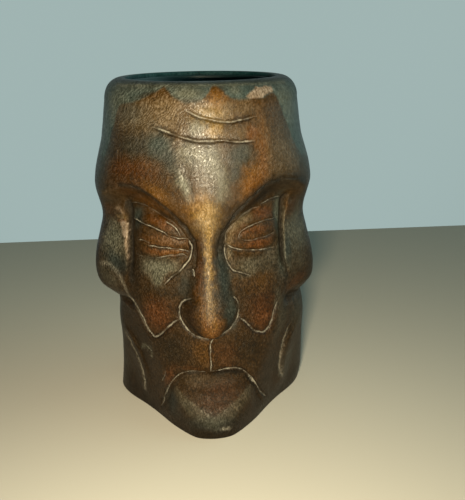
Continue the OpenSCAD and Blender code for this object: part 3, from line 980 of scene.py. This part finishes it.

# Soft patches of stain and wear, with patches of painted shade and painted highlight among them: (tone,
# strength, arc, height, half width, half height, turn in degrees).
STAIN_AND_LIGHT = {
    "sides": [
        # Painted shade: the umber patches darken the sides that turn from the light, and the lower side at
        # -X.
        ("umber_and_shade", 0.6, -62, 100, 12, 60, 0), ("umber_and_shade", 0.4, 64, 100, 12, 60, 0),
        ("slate", 0.8, -54, 128, 13, 24, 0), ("slate", 0.6, 54, 130, 16, 22, 0),
        ("umber_and_shade", 0.5, -48, 25, 20, 30, 0),
    ],
    "back": [
        ("slate", 0.6, -84, 104, 16, 14, 20), ("rust", 0.35, -74, 88, 12, 9, -10),
        ("rust", 0.3, -104, 72, 13, 14, 0), ("ash_and_sheen", 0.25, -88, 58, 10, 9, 25),
        ("umber_and_shade", 0.6, -96, 36, 20, 12, 0), ("ash_and_sheen", 0.2, -118, 96, 10, 12, 0),
        ("amber", 0.2, -114, 46, 9, 10, 0), ("slate", 0.5, -72, 18, 12, 10, 0),
        ("slate", 0.5, 88, 98, 15, 15, -20), ("rust", 0.35, 76, 74, 12, 10, 15),
        ("rust", 0.3, 106, 84, 12, 12, 0), ("ash_and_sheen", 0.25, 92, 52, 11, 9, -20),
        ("umber_and_shade", 0.6, 98, 30, 20, 12, 0), ("ash_and_sheen", 0.2, 120, 64, 10, 12, 0),
        ("amber", 0.2, 112, 108, 9, 9, 0), ("slate", 0.5, 70, 20, 12, 10, 0),
        ("slate", 0.4, 141, 24, 14, 12, 0), ("slate", 0.4, -141, 24, 14, 12, 0),
        ("rust", 0.25, 141, 62, 12, 14, 0), ("rust", 0.25, -141, 62, 12, 14, 0),
    ],
    "forehead": [
        ("clay", 0.4, -27, 138.5, 12, 5.5, 12), ("ash_and_sheen", 0.22, -26, 134, 14, 9, 0),
        ("umber_and_shade", 0.8, -31, 126, 13, 6, 0),
        ("slate", 0.3, -27, 127, 10, 4, 0), ("oxblood", 0.8, -31, 116.5, 13, 5, 0),
        ("umber_and_shade", 0.72, -31, 111, 11, 3.6, 0), ("slate", 0.4, -34, 139, 8, 5, 0),
        ("rust", 0.15, -32, 111.5, 12, 1.6, 0), ("amber", 0.45, -19, 108, 7, 3, -38),
        ("clay", 0.8, -14, 139, 7, 6, 0), ("clay", 0.4, -12, 133, 5, 3, 0),
        # Painted highlight: the honey and ash patches high on the middle of the forehead.
        ("honey_and_highlight", 0.5, 3, 138, 7, 5, 0), ("ash_and_sheen", 0.2, 3, 138, 8, 5, 0), ("amber", 0.5, 6, 144, 4, 4, 0),
        ("ash_and_sheen", 0.6, -3, 134, 3, 3, 0), ("honey_and_highlight", 0.4, 4, 132, 4, 3, 0),
        ("slate", 0.8, -15, 124.5, 4.5, 9, 32), ("umber_and_shade", 0.4, -16, 122, 4.5, 7, 32),
        ("slate", 0.5, -19, 127, 4, 4, 0),
        # Painted highlight: the ash patches lower on the middle of the forehead.
        ("ash_and_sheen", 0.6, -5, 124, 4.5, 5.5, 20), ("ash_and_sheen", 0.6, 2.5, 121, 4, 7, 0),
        ("ash_and_sheen", 0.9, -8.3, 112, 1.9, 6.5, 22), ("ash_and_sheen", 0.7, 6, 112, 3, 7, 0),
        ("clay", 0.35, -1, 110, 2.5, 8, 0), ("amber", 0.55, -1, 104, 3.4, 6, 0),
        ("umber_and_shade", 0.75, 15, 123, 6, 5, 0),
        ("slate", 0.5, 14, 123, 5, 5, 0), ("slate", 0.5, 11, 116, 2.5, 4, 0),
        ("amber", 0.7, 18, 112, 4.5, 8, -22), ("rust", 0.3, 19, 110, 4, 6, -22),
        ("amber", 0.42, 24.5, 125, 3.4, 14, 0), ("ash_and_sheen", 0.12, 24, 127, 6, 12, 0),
        ("rust", 0.3, 23.5, 122, 3, 12, 0),
        ("rust", 0.5, 19, 131, 2.5, 3, 0), ("clay", 0.4, 14, 132, 6, 3, 0),
        ("clay", 0.5, 15, 140, 7, 3, 0), ("umber_and_shade", 0.35, 34, 132, 5, 12, 0),
        ("clay", 0.55, 36, 119, 9, 12, 0), ("amber", 0.5, -5, 103, 5, 5, 30),
        # Painted highlight at the root of the nose.
        ("honey_and_highlight", 0.75, 0, 99, 5, 8, 0), ("bone", 0.12, 1, 101, 4, 5, 0),
    ],
    "eyes": [
        ("oxblood", 0.6, -27, 104.5, 13, 3.4, -16), ("amber", 0.25, -24, 104, 10, 2.4, -20),
        # Painted shadow under the right brow.
        ("tar_and_shade", 0.85, 26, 105.5, 14, 4, 18),
        ("umber_and_shade", 0.6, 41, 107, 8, 4, 0), ("rust", 0.4, -21, 96.5, 8, 2, -16),
        ("rust", 0.42, -19, 88.6, 11, 1.9, -4), ("clay", 0.3, -19, 88.6, 9, 1.5, -4),
        ("rust", 0.48, -19, 83.8, 10, 1.6, 2), ("amber", 0.3, -15, 84.2, 6, 1.2, 2),
        ("umber_and_shade", 0.8, -34, 90, 5, 9, 0), ("slate", 0.7, -34, 97, 4.5, 5, 0),
        ("clay", 0.8, 12.5, 95.5, 5, 2.2, 28), ("ash_and_sheen", 0.4, 16, 97, 5, 1.6, 25),
        ("rust", 0.65, 28, 97.5, 7, 1.8, 0),
        ("rust", 0.45, 21, 91.5, 8, 2, 3), ("rust", 0.65, 23, 85.8, 8, 2.3, -4),
        ("slate", 0.9, 38.5, 94, 4.5, 9, 0), ("ash_and_sheen", 0.5, 38.5, 95, 4, 8, 0),
        ("ash_and_sheen", 0.6, 9.3, 83.5, 1.6, 3, 0),
        # Grey under the left eye: worn stain with painted reflection on the faces that turn up.
        ("ash_and_sheen", 0.95, -21, 77, 8, 4, 8), ("ash_and_sheen", 0.5, -29, 77.5, 4, 3.4, 0),
        ("ash_and_sheen", 0.9, -22.5, 72, 3.4, 3.4, 0),
        ("slate", 0.7, -9.5, 70, 3, 6, 0), ("umber_and_shade", 0.6, -11, 69, 6, 4.5, 0),
        ("umber_and_shade", 0.6, -33, 74, 5, 8, 0),
        ("ash_and_sheen", 0.5, 17, 76.5, 7, 4, 0), ("ash_and_sheen", 0.3, 28, 77, 6, 5, 0),
        ("amber", 0.3, 25, 68, 7, 4, 0), ("slate", 0.7, 39, 76, 4, 9, 0), ("ash_and_sheen", 0.3, 37, 74, 6, 9, 0),
        ("umber_and_shade", 0.5, -22, 66.5, 8, 3, 0),
    ],
    "nose": [
        ("umber_and_shade", 0.85, -5.4, 74, 2.6, 18, 0), ("rust", 0.25, -4, 76, 1.4, 14, 0),
        ("slate", 0.9, 5.8, 76, 3, 14, 0), ("umber_and_shade", 0.3, 5.8, 80, 2.6, 10, 0),
        # Painted highlight down the ridge, over rubbed wood.
        ("honey_and_highlight", 0.75, 0, 82, 1.5, 20, 0), ("amber", 0.6, -2.5, 60, 3, 9, 0),
        ("amber", 0.9, 0.4, 54, 4.6, 7, 0), ("rust", 0.5, 0.4, 53, 4, 6, 0),
        ("umber_and_shade", 0.75, -8.5, 57, 3.6, 7, 0), ("oxblood", 0.3, -7, 57, 3, 7, 0),
        ("slate", 0.9, 8.5, 58, 2.8, 7.5, 0), ("ash_and_sheen", 0.3, 8.5, 60, 2.4, 7, 0),
        # Painted highlight low on the ridge.
        ("honey_and_highlight", 0.3, 0.5, 60, 1.8, 8, 0),
    ],
    "cheeks": [
        ("rust", 0.85, -24, 55, 6.5, 7, 0), ("oxblood", 0.3, -24, 56, 6, 6, 0),
        ("oxblood", 0.5, -21, 61, 7, 2.5, 0),
        ("umber_and_shade", 0.6, -36, 62, 5, 5, 0), ("rust", 0.8, 23.5, 54, 6, 7, 0),
        ("oxblood", 0.7, 23, 60, 7, 5, 0), ("ash_and_sheen", 0.4, 33, 58, 3, 5, 0),
        ("umber_and_shade", 0.4, 13, 63, 3, 4, 0),
    ],
    "slabs": [
        ("ash_and_sheen", 0.95, -49, 84, 8, 9, 0), ("slate", 0.8, -46, 75, 7, 4.5, 0),
        # Painted shade above the ridge at the slab's lower end.
        ("tar_and_shade", 0.55, -43, 73.5, 4, 5, -25),
        ("oxblood", 0.4, -54, 96, 5, 3.5, 0), ("ash_and_sheen", 0.45, -52, 66, 7, 5, -20),
        ("ash_and_sheen", 0.65, 51, 85, 9, 11, 0), ("oxblood", 0.5, 48, 96, 4.5, 3.6, 0),
        ("slate", 0.6, 44, 78, 3, 8, 0), ("ash_and_sheen", 0.25, 48, 70, 8, 5, 0),
        ("rust", 0.4, 48, 61, 7, 3, 10),
    ],
    "jaw": [
        ("amber", 0.6, -3, 40, 4.6, 7, 0), ("rust", 0.3, 6, 38, 5, 6, 0),
        ("umber_and_shade", 0.8, -18, 40, 8, 8, 0), ("umber_and_shade", 0.5, -36, 38, 7, 8, 0),
        ("umber_and_shade", 0.6, 17, 40, 5, 6, 0), ("ash_and_sheen", 0.35, 36, 48, 4, 10, -20),
        ("rust", 0.6, -20.5, 26, 2.2, 6, -35), ("rust", 0.3, -10, 31.6, 6, 1.2, 0),
        ("ash_and_sheen", 0.4, 47, 20, 6, 8, 0), ("ash_and_sheen", 0.35, 52, 44, 8, 8, 0),
        ("umber_and_shade", 0.5, 30, 22, 7, 10, 0), ("ash_and_sheen", 0.25, -33, 36, 4, 2, 30),
    ],
    "mouth": [
        # The tar patch here is painted shadow under the upper lip.
        ("clay", 0.35, -7, 25.5, 8, 3, 0), ("tar_and_shade", 0.9, 6, 28.3, 5, 1.2, 0),
        ("oxblood", 0.9, 3, 20, 9, 5, 0), ("oxblood", 0.8, 0, 15, 6, 4, 0),
        ("slate", 0.7, -20, 12, 5, 6, 0), ("ash_and_sheen", 0.3, -11, 14, 3, 3, -40),
        # The umber band along the foot is painted shade where the mug meets the floor.
        ("slate", 0.6, -1, 7, 12, 4, 0), ("ash_and_sheen", 0.08, -4, 8, 8, 3, 0), ("umber_and_shade", 0.4, 0, 0.5, 40, 1.5, 0),
    ],
}
RIM_PATCHES = [
    ("ash_and_sheen", 0.6, -6, 146, 7, 2.4, 0), ("umber_and_shade", 0.6, -6, 143.4, 8, 0.7, 0),
    ("umber_and_shade", 0.5, 8, 147.4, 2, 2, 0), ("ash_and_sheen", 0.3, 14, 147, 3, 2, 0),
    ("umber_and_shade", 0.6, -24, 145.6, 7, 0.8, 12), ("ash_and_sheen", 0.35, -42, 141, 10, 8, 0),
    ("ash_and_sheen", 0.4, 42, 140, 10, 9, 0), ("ash_and_sheen", 0.25, -25, 148, 16, 2, 0),
    ("umber_and_shade", 0.6, -78, 132, 14, 9, 10), ("umber_and_shade", 0.5, 84, 128, 12, 10, -15),
    ("umber_and_shade", 0.5, 118, 136, 11, 8, 0), ("umber_and_shade", 0.6, -112, 126, 10, 9, 0),
]

# Narrow strokes of stain and wear, with strokes of painted shade and painted highlight among them: (tone,
# strength, half width, [(arc, height), ...]).
STROKES = {
    # Painted shade under the brows, along their creases.
    "brow_left": ("tar_and_shade", 0.5, 1.8, [
        (-45, 108), (-38, 110.4), (-30, 110.4), (-24, 107.8), (-18, 103.8), (-12, 98.6), (-8, 94),
        (-5.6, 89.5), (-5, 84)]),
    "brow_left_line": ("tar_and_shade", 0.8, 0.8, CUTS["brow_crease_left"][-1][1:8]),
    "brow_right": ("tar_and_shade", 0.8, 2.2, [
        (4.5, 86), (6, 92), (9, 97), (13, 101.5), (18, 106.5), (24, 109.8), (31, 111.2), (40, 110.5),
        (48, 107.5)]),
    "brow_right_line": ("tar_and_shade", 0.9, 0.9, [
        (5, 88), (6.4, 92), (9.6, 97), (13.8, 101.4), (19.2, 106.2), (26, 109.8), (33, 110.6)]),
    "furrow": ("umber_and_shade", 0.6, 0.6, [(-9.5, 124), (-7.2, 117), (-5.6, 112), (-4.6, 106)]),
    "slab_left_chip": ("bared", 0.32, 1.0, [(-46.5, 98.4), (-44.6, 98.8), (-42.8, 97.4)]),
    "slab_left_red": ("oxblood", 0.8, 0.5, [(-47, 93), (-44, 93.8), (-42, 94.4)]),
    "slab_left_pink": ("clay", 0.6, 1.0, [(-46.5, 94.8), (-44, 95.4), (-42, 95.4)]),
    "slab_left_dark": ("umber_and_shade", 0.7, 0.7, [(-47.5, 96.4), (-44, 96.4)]),
    "slab_right_edge": ("bone", 0.09, 0.5, [(43.9, 93), (43.4, 90), (42.6, 84), (42.2, 78), (42.1, 75)]),
    # Painted shade on the slabs' inner walls and in the grooves beside them.
    "groove_left": ("tar_and_shade", 0.7, 1.8, [(-39, 101), (-39, 92), (-38.4, 84), (-37.6, 76), (-37, 70)]),
    "wall_left": ("tar_and_shade", 0.95, 1.3, [
        (-40.6, 101), (-39.6, 96), (-39.3, 92), (-38.9, 86), (-38.3, 80), (-37.9, 74), (-37.4, 68)]),
    "groove_left_low": ("tar_and_shade", 0.5, 3.2, [(-35, 80), (-35, 74), (-35.5, 68)]),
    "groove_right": ("tar_and_shade", 0.85, 0.9, [(42.9, 102), (42.1, 92), (41, 82), (40.6, 72), (41.2, 66)]),
    "socket_band_right": ("clay", 0.5, 1.5, [(8.8, 81), (8.8, 88), (10.4, 92.5), (14, 95.8), (19, 98)]),
    # Painted highlight along the ridge at the slab's lower end.
    "crease_left": ("bone", 0.2, 1.1, [
        (-56, 71.5), (-51, 73), (-47, 71), (-44, 67.5), (-42, 64), (-41, 61)]),
    "chip_left": ("bone", 0.4, 1.0, [(-42.5, 58.6), (-39.8, 58), (-37.8, 57.2)]),
    # Painted soft highlight beside the cut of the left cheek.
    "cheek_left_wide": ("bone", 0.2, 1.1, [(-37, 56.6), (-35, 54), (-32.4, 50.4), (-30.4, 47)]),
    "curl_left": ("ash_and_sheen", 0.35, 0.8, [(-39.5, 33.5), (-36.5, 36), (-33, 36.4), (-30.5, 34), (-31.5, 32)]),
    # Painted soft highlight beside the cuts of the lobes.
    "lobe_left_wide": ("bone", 0.2, 1.4, CUTS["lobe_left"][-1]),
    "lobe_right_wide": ("bone", 0.16, 1.4, CUTS["lobe_right"][-1][1:]),
    # Painted shadow under the upper lip.
    "under_mouth": ("tar_and_shade", 0.9, 0.9, [(0.5, 28.6), (5, 29), (9.5, 29.2), (12, 28.2)]),
    # Painted highlight along the mouth's edge.
    "rim_edge": ("ash_and_sheen", 0.5, 0.5, [(-48, 148.2), (-20, 148.6), (0, 148.8), (20, 148.6), (48, 148.2)]),
    "chin_chip": ("bone", 0.4, 0.7, [(3.2, 5.2), (5.6, 4.9)]),
}


# ------------------------------------------------------------- the finishes


def new_finish(name):
    """A material, its nodes and its surface shader's inputs."""
    finish = bpy.data.materials.new(name)
    finish.use_nodes = True
    nodes = NodeTree(finish.node_tree)
    return finish, nodes, finish.node_tree.nodes["Principled BSDF"].inputs


def bumped(nodes, surface, height, strength, depth=0.2 * MM):
    """Roughens a surface by a height pattern, and gives the normal that it makes."""
    bump = nodes.add("ShaderNodeBump", {"Strength": strength, "Distance": depth, "Height": height})
    nodes.set(surface["Normal"], bump.outputs[0])
    return bump.outputs[0]


def carved_finish(finishes):
    """Stained, lacquered wood: short fibres, creases, and pale wood bared in the cuts."""
    finish, nodes, surface = new_finish("stained_carving_and_painted_light")

    def carried(name, output="Fac"):
        return nodes.add("ShaderNodeAttribute", attribute_name=name).outputs[output]

    pale, folded, shine = carried("cut_pale"), carried("folded"), carried("shine")
    place = nodes.add("ShaderNodeTexCoord").outputs["Object"]
    upright = nodes.vector("MULTIPLY", place, (1.0, 1.0, 0.5))
    fibre = nodes.noise(upright, 1100.0, 3.0, Roughness=0.6, Distortion=1.4)
    crinkle = nodes.noise(upright, 520.0, 5.0, Roughness=0.7, Distortion=1.8)
    crease = nodes.ramp(nodes.math("ABSOLUTE", nodes.math("SUBTRACT", crinkle, 0.5)), 0.0, 0.09)
    blotch = nodes.noise(place, 230.0, 5.0, Roughness=0.65)

    # Fine slanting wrinkles on the folded skin.
    drift = nodes.noise(place, 120.0, 3.0)
    slope = nodes.add("ShaderNodeVectorMath", {0: place, 1: (-3600.0, 0.0, 3600.0)},
                      operation="DOT_PRODUCT").outputs["Value"]
    wrinkle = nodes.product(nodes.math("SINE", nodes.math("MULTIPLY_ADD", drift, 52.0, slope)), folded)

    # The stain, shaded by the patterns.
    fleck = nodes.ramp(nodes.noise(upright, 1900.0, 2.0), 0.32, 0.68, -0.5, 0.5)
    fleck = nodes.product(fleck, carried("flecked"))
    shade = nodes.product(
        nodes.ramp(fibre, 0.3, 0.7, 0.5, 1.5), nodes.ramp(blotch, 0.3, 0.7, 0.78, 1.22),
        nodes.math("MULTIPLY_ADD", crease, 0.3, 0.8), nodes.math("ADD", fleck, 1.0),
        nodes.math("MULTIPLY_ADD", wrinkle, 0.3, 1.0))
    # The stain attribute brings the painted shade and highlight along with the stain.
    dusted = nodes.add("ShaderNodeHueSaturation", {
        "Saturation": nodes.ramp(shade, 0.6, 1.5, 1.3, 0.95),
        "Color": carried("stain", "Color")}).outputs[0]

    # Darker beside the cuts, and pale wood along them.
    across = nodes.math("ADD", carried("cut_across"), nodes.ramp(fibre, 0.3, 0.7, -0.25, 0.25))
    cut_edge_dark = nodes.product(nodes.ramp(across, 2.0, 0.8), nodes.product(pale, 0.85))
    colour = nodes.vector("SCALE", nodes.vector("SCALE", dusted, scale=shade),
                          scale=nodes.math("SUBTRACT", 1.0, cut_edge_dark))
    bared = nodes.product(
        nodes.ramp(across, 0.6, 0.1), pale, nodes.ramp(blotch, 0.36, 0.54, 0.15, 1.0))
    mixed = nodes.add("ShaderNodeMix", data_type="RGBA")
    for key, value in (("Factor", bared), ("A", colour), ("B", (*finishes.bone, 1.0))):
        nodes.set(mixed.inputs[key], value)
    nodes.set(surface["Base Color"], mixed.outputs["Result"])

    nodes.set(surface["Roughness"], nodes.math("ADD", nodes.ramp(fibre, 0.3, 0.7, 0.5, 0.36),
                                               nodes.ramp(shine, 0.0, 0.18, 0.4, 0.0)))
    nodes.set(surface["Specular IOR Level"], 0.16)
    nodes.set(surface["Specular Tint"], (1.0, 0.95, 0.82, 1.0))
    nodes.set(surface["Coat Weight"], nodes.math("MULTIPLY_ADD", shine, 1.6, -0.28, clamp=True))
    nodes.set(surface["Coat Roughness"], 0.38)
    relief = nodes.math("MULTIPLY_ADD", fibre, 0.4, nodes.product(crinkle, 0.35))
    relief = nodes.math("MULTIPLY_ADD", crease, 0.25, nodes.math("MULTIPLY_ADD", wrinkle, 0.16, relief))
    nodes.set(surface["Coat Normal"], bumped(nodes, surface, relief, 1.0))
    return finish


def lining_finish(finishes):
    """Dark, even lacquer."""
    finish, nodes, surface = new_finish("dark_lining")
    place = nodes.add("ShaderNodeTexCoord").outputs["Object"]
    cloud = nodes.noise(place, 60.0, 5.0)
    nodes.set(surface["Base Color"], (*finishes.lining, 1.0))
    nodes.set(surface["Roughness"], nodes.ramp(cloud, 0.3, 0.7, 0.32, 0.46))
    bumped(nodes, surface, cloud, 0.15)
    return finish


def plug_finish(finishes):
    """Plain wood cut lengthways, so that its growth rings show as lines of grain."""
    finish, nodes, surface = new_finish("turned_plug")
    place = nodes.add("ShaderNodeTexCoord").outputs["Object"]
    ring = nodes.add("ShaderNodeTexWave", {"Vector": place, "Scale": 90.0, "Distortion": 4.0,
                                           "Detail": 3.0}, wave_type="RINGS").outputs[0]
    colour = nodes.vector("SCALE", tuple(finishes.plug), scale=nodes.ramp(ring, 0.0, 1.0, 0.65, 1.15))
    nodes.set(surface["Base Color"], colour)
    nodes.set(surface["Roughness"], nodes.ramp(ring, 0.0, 1.0, 0.62, 0.5))
    bumped(nodes, surface, ring, 0.3)
    return finish


# ---------------------------------------------------------------- operators


class TIKI_OT_head(Operator):
    """Builds the carved head with its incised lines and stain"""

    bl_idname = "tiki.head"
    bl_label = "Carve the head"

    def execute(self, context):
        scene = context.scene
        carving = scene.mug_carving
        noise.seed_set(carving.seed)
        finish = carved_finish(scene.mug_finishes)
        head = make_object("head", head_mesh(scene.mug_sizes, carving))
        lines = cut_lines()
        refine(head.data, lines)
        apply_tree(head, hand_tree(), {
            "Swell": carving.swell, "Facet": carving.facet, "Crinkle": carving.crinkle,
            "Seed": carving.seed, "Finish": finish})
        apply_tree(head, cut_tree(), {"Lines": lines, "Depth": carving.cut_depth, "Finish": finish})
        mesh = plain_mesh(head, "head")
        paint_head(mesh, scene.mug_finishes)
        reach_over(mesh)
        cut_askew(mesh)
        bpy.data.objects.remove(lines)
        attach(head, "root")
        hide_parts("carved_head")
        return {"FINISHED"}


class TIKI_OT_plug(Operator):
    """Builds the turned plug that closes the foot of the bore"""

    bl_idname = "tiki.plug"
    bl_label = "Turn the foot plug"

    def execute(self, context):
        low, high = PLUG_BOX
        radius, edge = high.x, context.scene.mug_sizes.plug_edge
        profile = [(0, low.z), (0.3 * radius, low.z), (0.6 * radius, low.z), (0.85 * radius, low.z),
                   *round_corner((radius - edge, low.z + edge), edge, -90, 0),
                   *round_corner((radius - edge, high.z - edge), edge, 0, 90),
                   (0.5 * radius, high.z), (0, high.z)]
        plug = make_object("foot_plug", turned_mesh("foot_plug", profile, segments=128))
        plug.data.materials.append(plug_finish(context.scene.mug_finishes))
        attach(plug, "root")
        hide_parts("base_plug")
        return {"FINISHED"}


class TIKI_OT_lining(Operator):
    """Builds the thin dark cup that lines the bore"""

    bl_idname = "tiki.lining"
    bl_label = "Form the cup lining"

    def execute(self, context):
        low, high = LINER_BOX
        sizes = context.scene.mug_sizes
        wall, floor = sizes.lining_wall, sizes.lining_floor
        cove, corner = sizes.lining_cove, sizes.lining_corner
        radius = high.x
        inner = radius - wall
        profile = [(0, low.z), (radius / 2, low.z),
                   *round_corner((radius - corner, low.z + corner), corner, -90, 0),
                   (radius, (low.z + high.z) / 2),
                   *round_corner((radius - wall / 2, high.z - wall / 2), wall / 2, 0, 180, steps=7),
                   (inner, (low.z + high.z) / 2),
                   *round_corner((inner - cove, low.z + floor + cove), cove, 0, -90, steps=7),
                   (inner / 2, low.z + floor), (0, low.z + floor)]
        cup = make_object("cup", turned_mesh("cup", profile, segments=160))
        cut_askew(cup.data)
        cup.data.materials.append(lining_finish(context.scene.mug_finishes))
        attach(cup, "root")
        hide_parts("cup_liner")
        return {"FINISHED"}


# The stage, in metres: the floor's reach, the point the lights aim at, and the camera's place
# and turn (down, to the right and rolled, in degrees).
FLOOR_SIDE, FLOOR_BACK = 0.7, 0.245
LIT_POINT = (0, 0, 0.08)
CAMERA_PLACE = (-0.0025, -0.272, 0.164)
CAMERA_TURN = (19.1, 3.1, -1.24)


def add_light(name, place, power, colour, size=None, angle=None):
    """A square area light of a size, or without one a sun as wide as the angle, aimed at the mug."""
    light = bpy.data.lights.new(name, "AREA" if size else "SUN")
    light.energy, light.color = power, colour
    if size:
        light.size = size
    else:
        light.angle = angle
    lamp = make_object(name, light)
    lamp.location = place
    lamp.rotation_euler = (Vector(LIT_POINT) - Vector(place)).to_track_quat("-Z", "Y").to_euler()


class TIKI_OT_stage(Operator):
    """Sets up the plain floor, the lights and the camera"""

    bl_idname = "tiki.stage"
    bl_label = "Set the stage"

    def execute(self, context):
        stage = context.scene.mug_stage
        side, back = FLOOR_SIDE, FLOOR_BACK
        corners = [(-side, -side, 0), (side, -side, 0), (side, back, 0), (-side, back, 0)]
        floor = make_object("floor", make_mesh("floor", corners, [(0, 1, 2, 3)]))
        finish, nodes, surface = new_finish("pale_floor")
        nodes.set(surface["Base Color"], (*stage.floor, 1.0))
        nodes.set(surface["Roughness"], 0.8)
        floor.data.materials.append(finish)
        add_light("key", place=(-0.018, -0.275, 0.145), power=stage.key_power,
                  colour=(1.0, 0.90, 0.66), size=0.03)
        add_light("room", place=(0.9, 0.1, 0.4), power=stage.room_power,
                  colour=(0.60, 0.95, 0.90), angle=1.2)
        context.scene.world = self.make_world()
        context.scene.view_settings.view_transform = "Standard"
        context.scene.camera = self.make_camera(stage.lens)
        return {"FINISHED"}

    def make_world(self):
        """A pale wall of light behind the mug and a dim room in front of it."""
        world = bpy.data.worlds.new("room")
        world.use_nodes = True
        nodes = NodeTree(world.node_tree)
        way = nodes.add("ShaderNodeTexCoord").outputs["Generated"]
        back = nodes.add("ShaderNodeSeparateXYZ", {"Vector": way}).outputs["Y"]
        sky = world.node_tree.nodes["Background"].inputs
        nodes.set(sky["Color"], (0.57, 0.74, 0.72, 1.0))
        nodes.set(sky["Strength"], nodes.ramp(back, 0.3, 0.95, 0.02, 0.62))
        return world

    def make_camera(self, lens):
        """A camera before the face, a little above it."""
        pitch, yaw, roll = (math.radians(angle) for angle in CAMERA_TURN)
        ahead = Vector((math.sin(yaw) * math.cos(pitch), math.cos(yaw) * math.cos(pitch),
                        -math.sin(pitch)))
        level = Vector((math.cos(yaw), -math.sin(yaw), 0))
        up = level.cross(ahead)
        right = level * math.cos(roll) + up * math.sin(roll)
        up = -level * math.sin(roll) + up * math.cos(roll)
        turn = Matrix((right, up, -ahead)).transposed()
        camera = bpy.data.cameras.new("camera")
        camera.lens = lens
        camera.clip_start = 0.01
        seat = make_object("camera", camera)
        seat.matrix_world = Matrix.Translation(CAMERA_PLACE) @ turn.to_4x4()
        return seat


class TIKI_PT_panel(Panel):
    """Lists the mug's sizes, finishes and pieces"""

    bl_idname = "TIKI_PT_panel"
    bl_label = "Tiki Mug"
    bl_space_type = "VIEW_3D"
    bl_region_type = "UI"
    bl_category = "Tiki Mug"

    def draw(self, context):
        for settings in SETTINGS:
            box = self.layout.box()
            group = getattr(context.scene, settings)
            for name in group.__annotations__:
                box.prop(group, name)
        for operator in OPERATORS:
            self.layout.operator(operator.bl_idname)


SETTINGS = {"mug_sizes": MugSizes, "mug_carving": CarvingSizes, "mug_finishes": Finishes,
            "mug_stage": StageSettings}
OPERATORS = (TIKI_OT_stage, TIKI_OT_head, TIKI_OT_plug, TIKI_OT_lining)
CLASSES = (*SETTINGS.values(), *OPERATORS, TIKI_PT_panel)


def register():
    for cls in CLASSES:
        bpy.utils.register_class(cls)
    for name, group in SETTINGS.items():
        setattr(bpy.types.Scene, name, PointerProperty(type=group))


def unregister():
    for name in SETTINGS:
        delattr(bpy.types.Scene, name)
    for cls in reversed(CLASSES):
        bpy.utils.unregister_class(cls)


def main():
    register()
    bpy.ops.tiki.stage()
    bpy.ops.tiki.head()
    bpy.ops.tiki.plug()
    bpy.ops.tiki.lining()


if __name__ == "__main__":
    main()
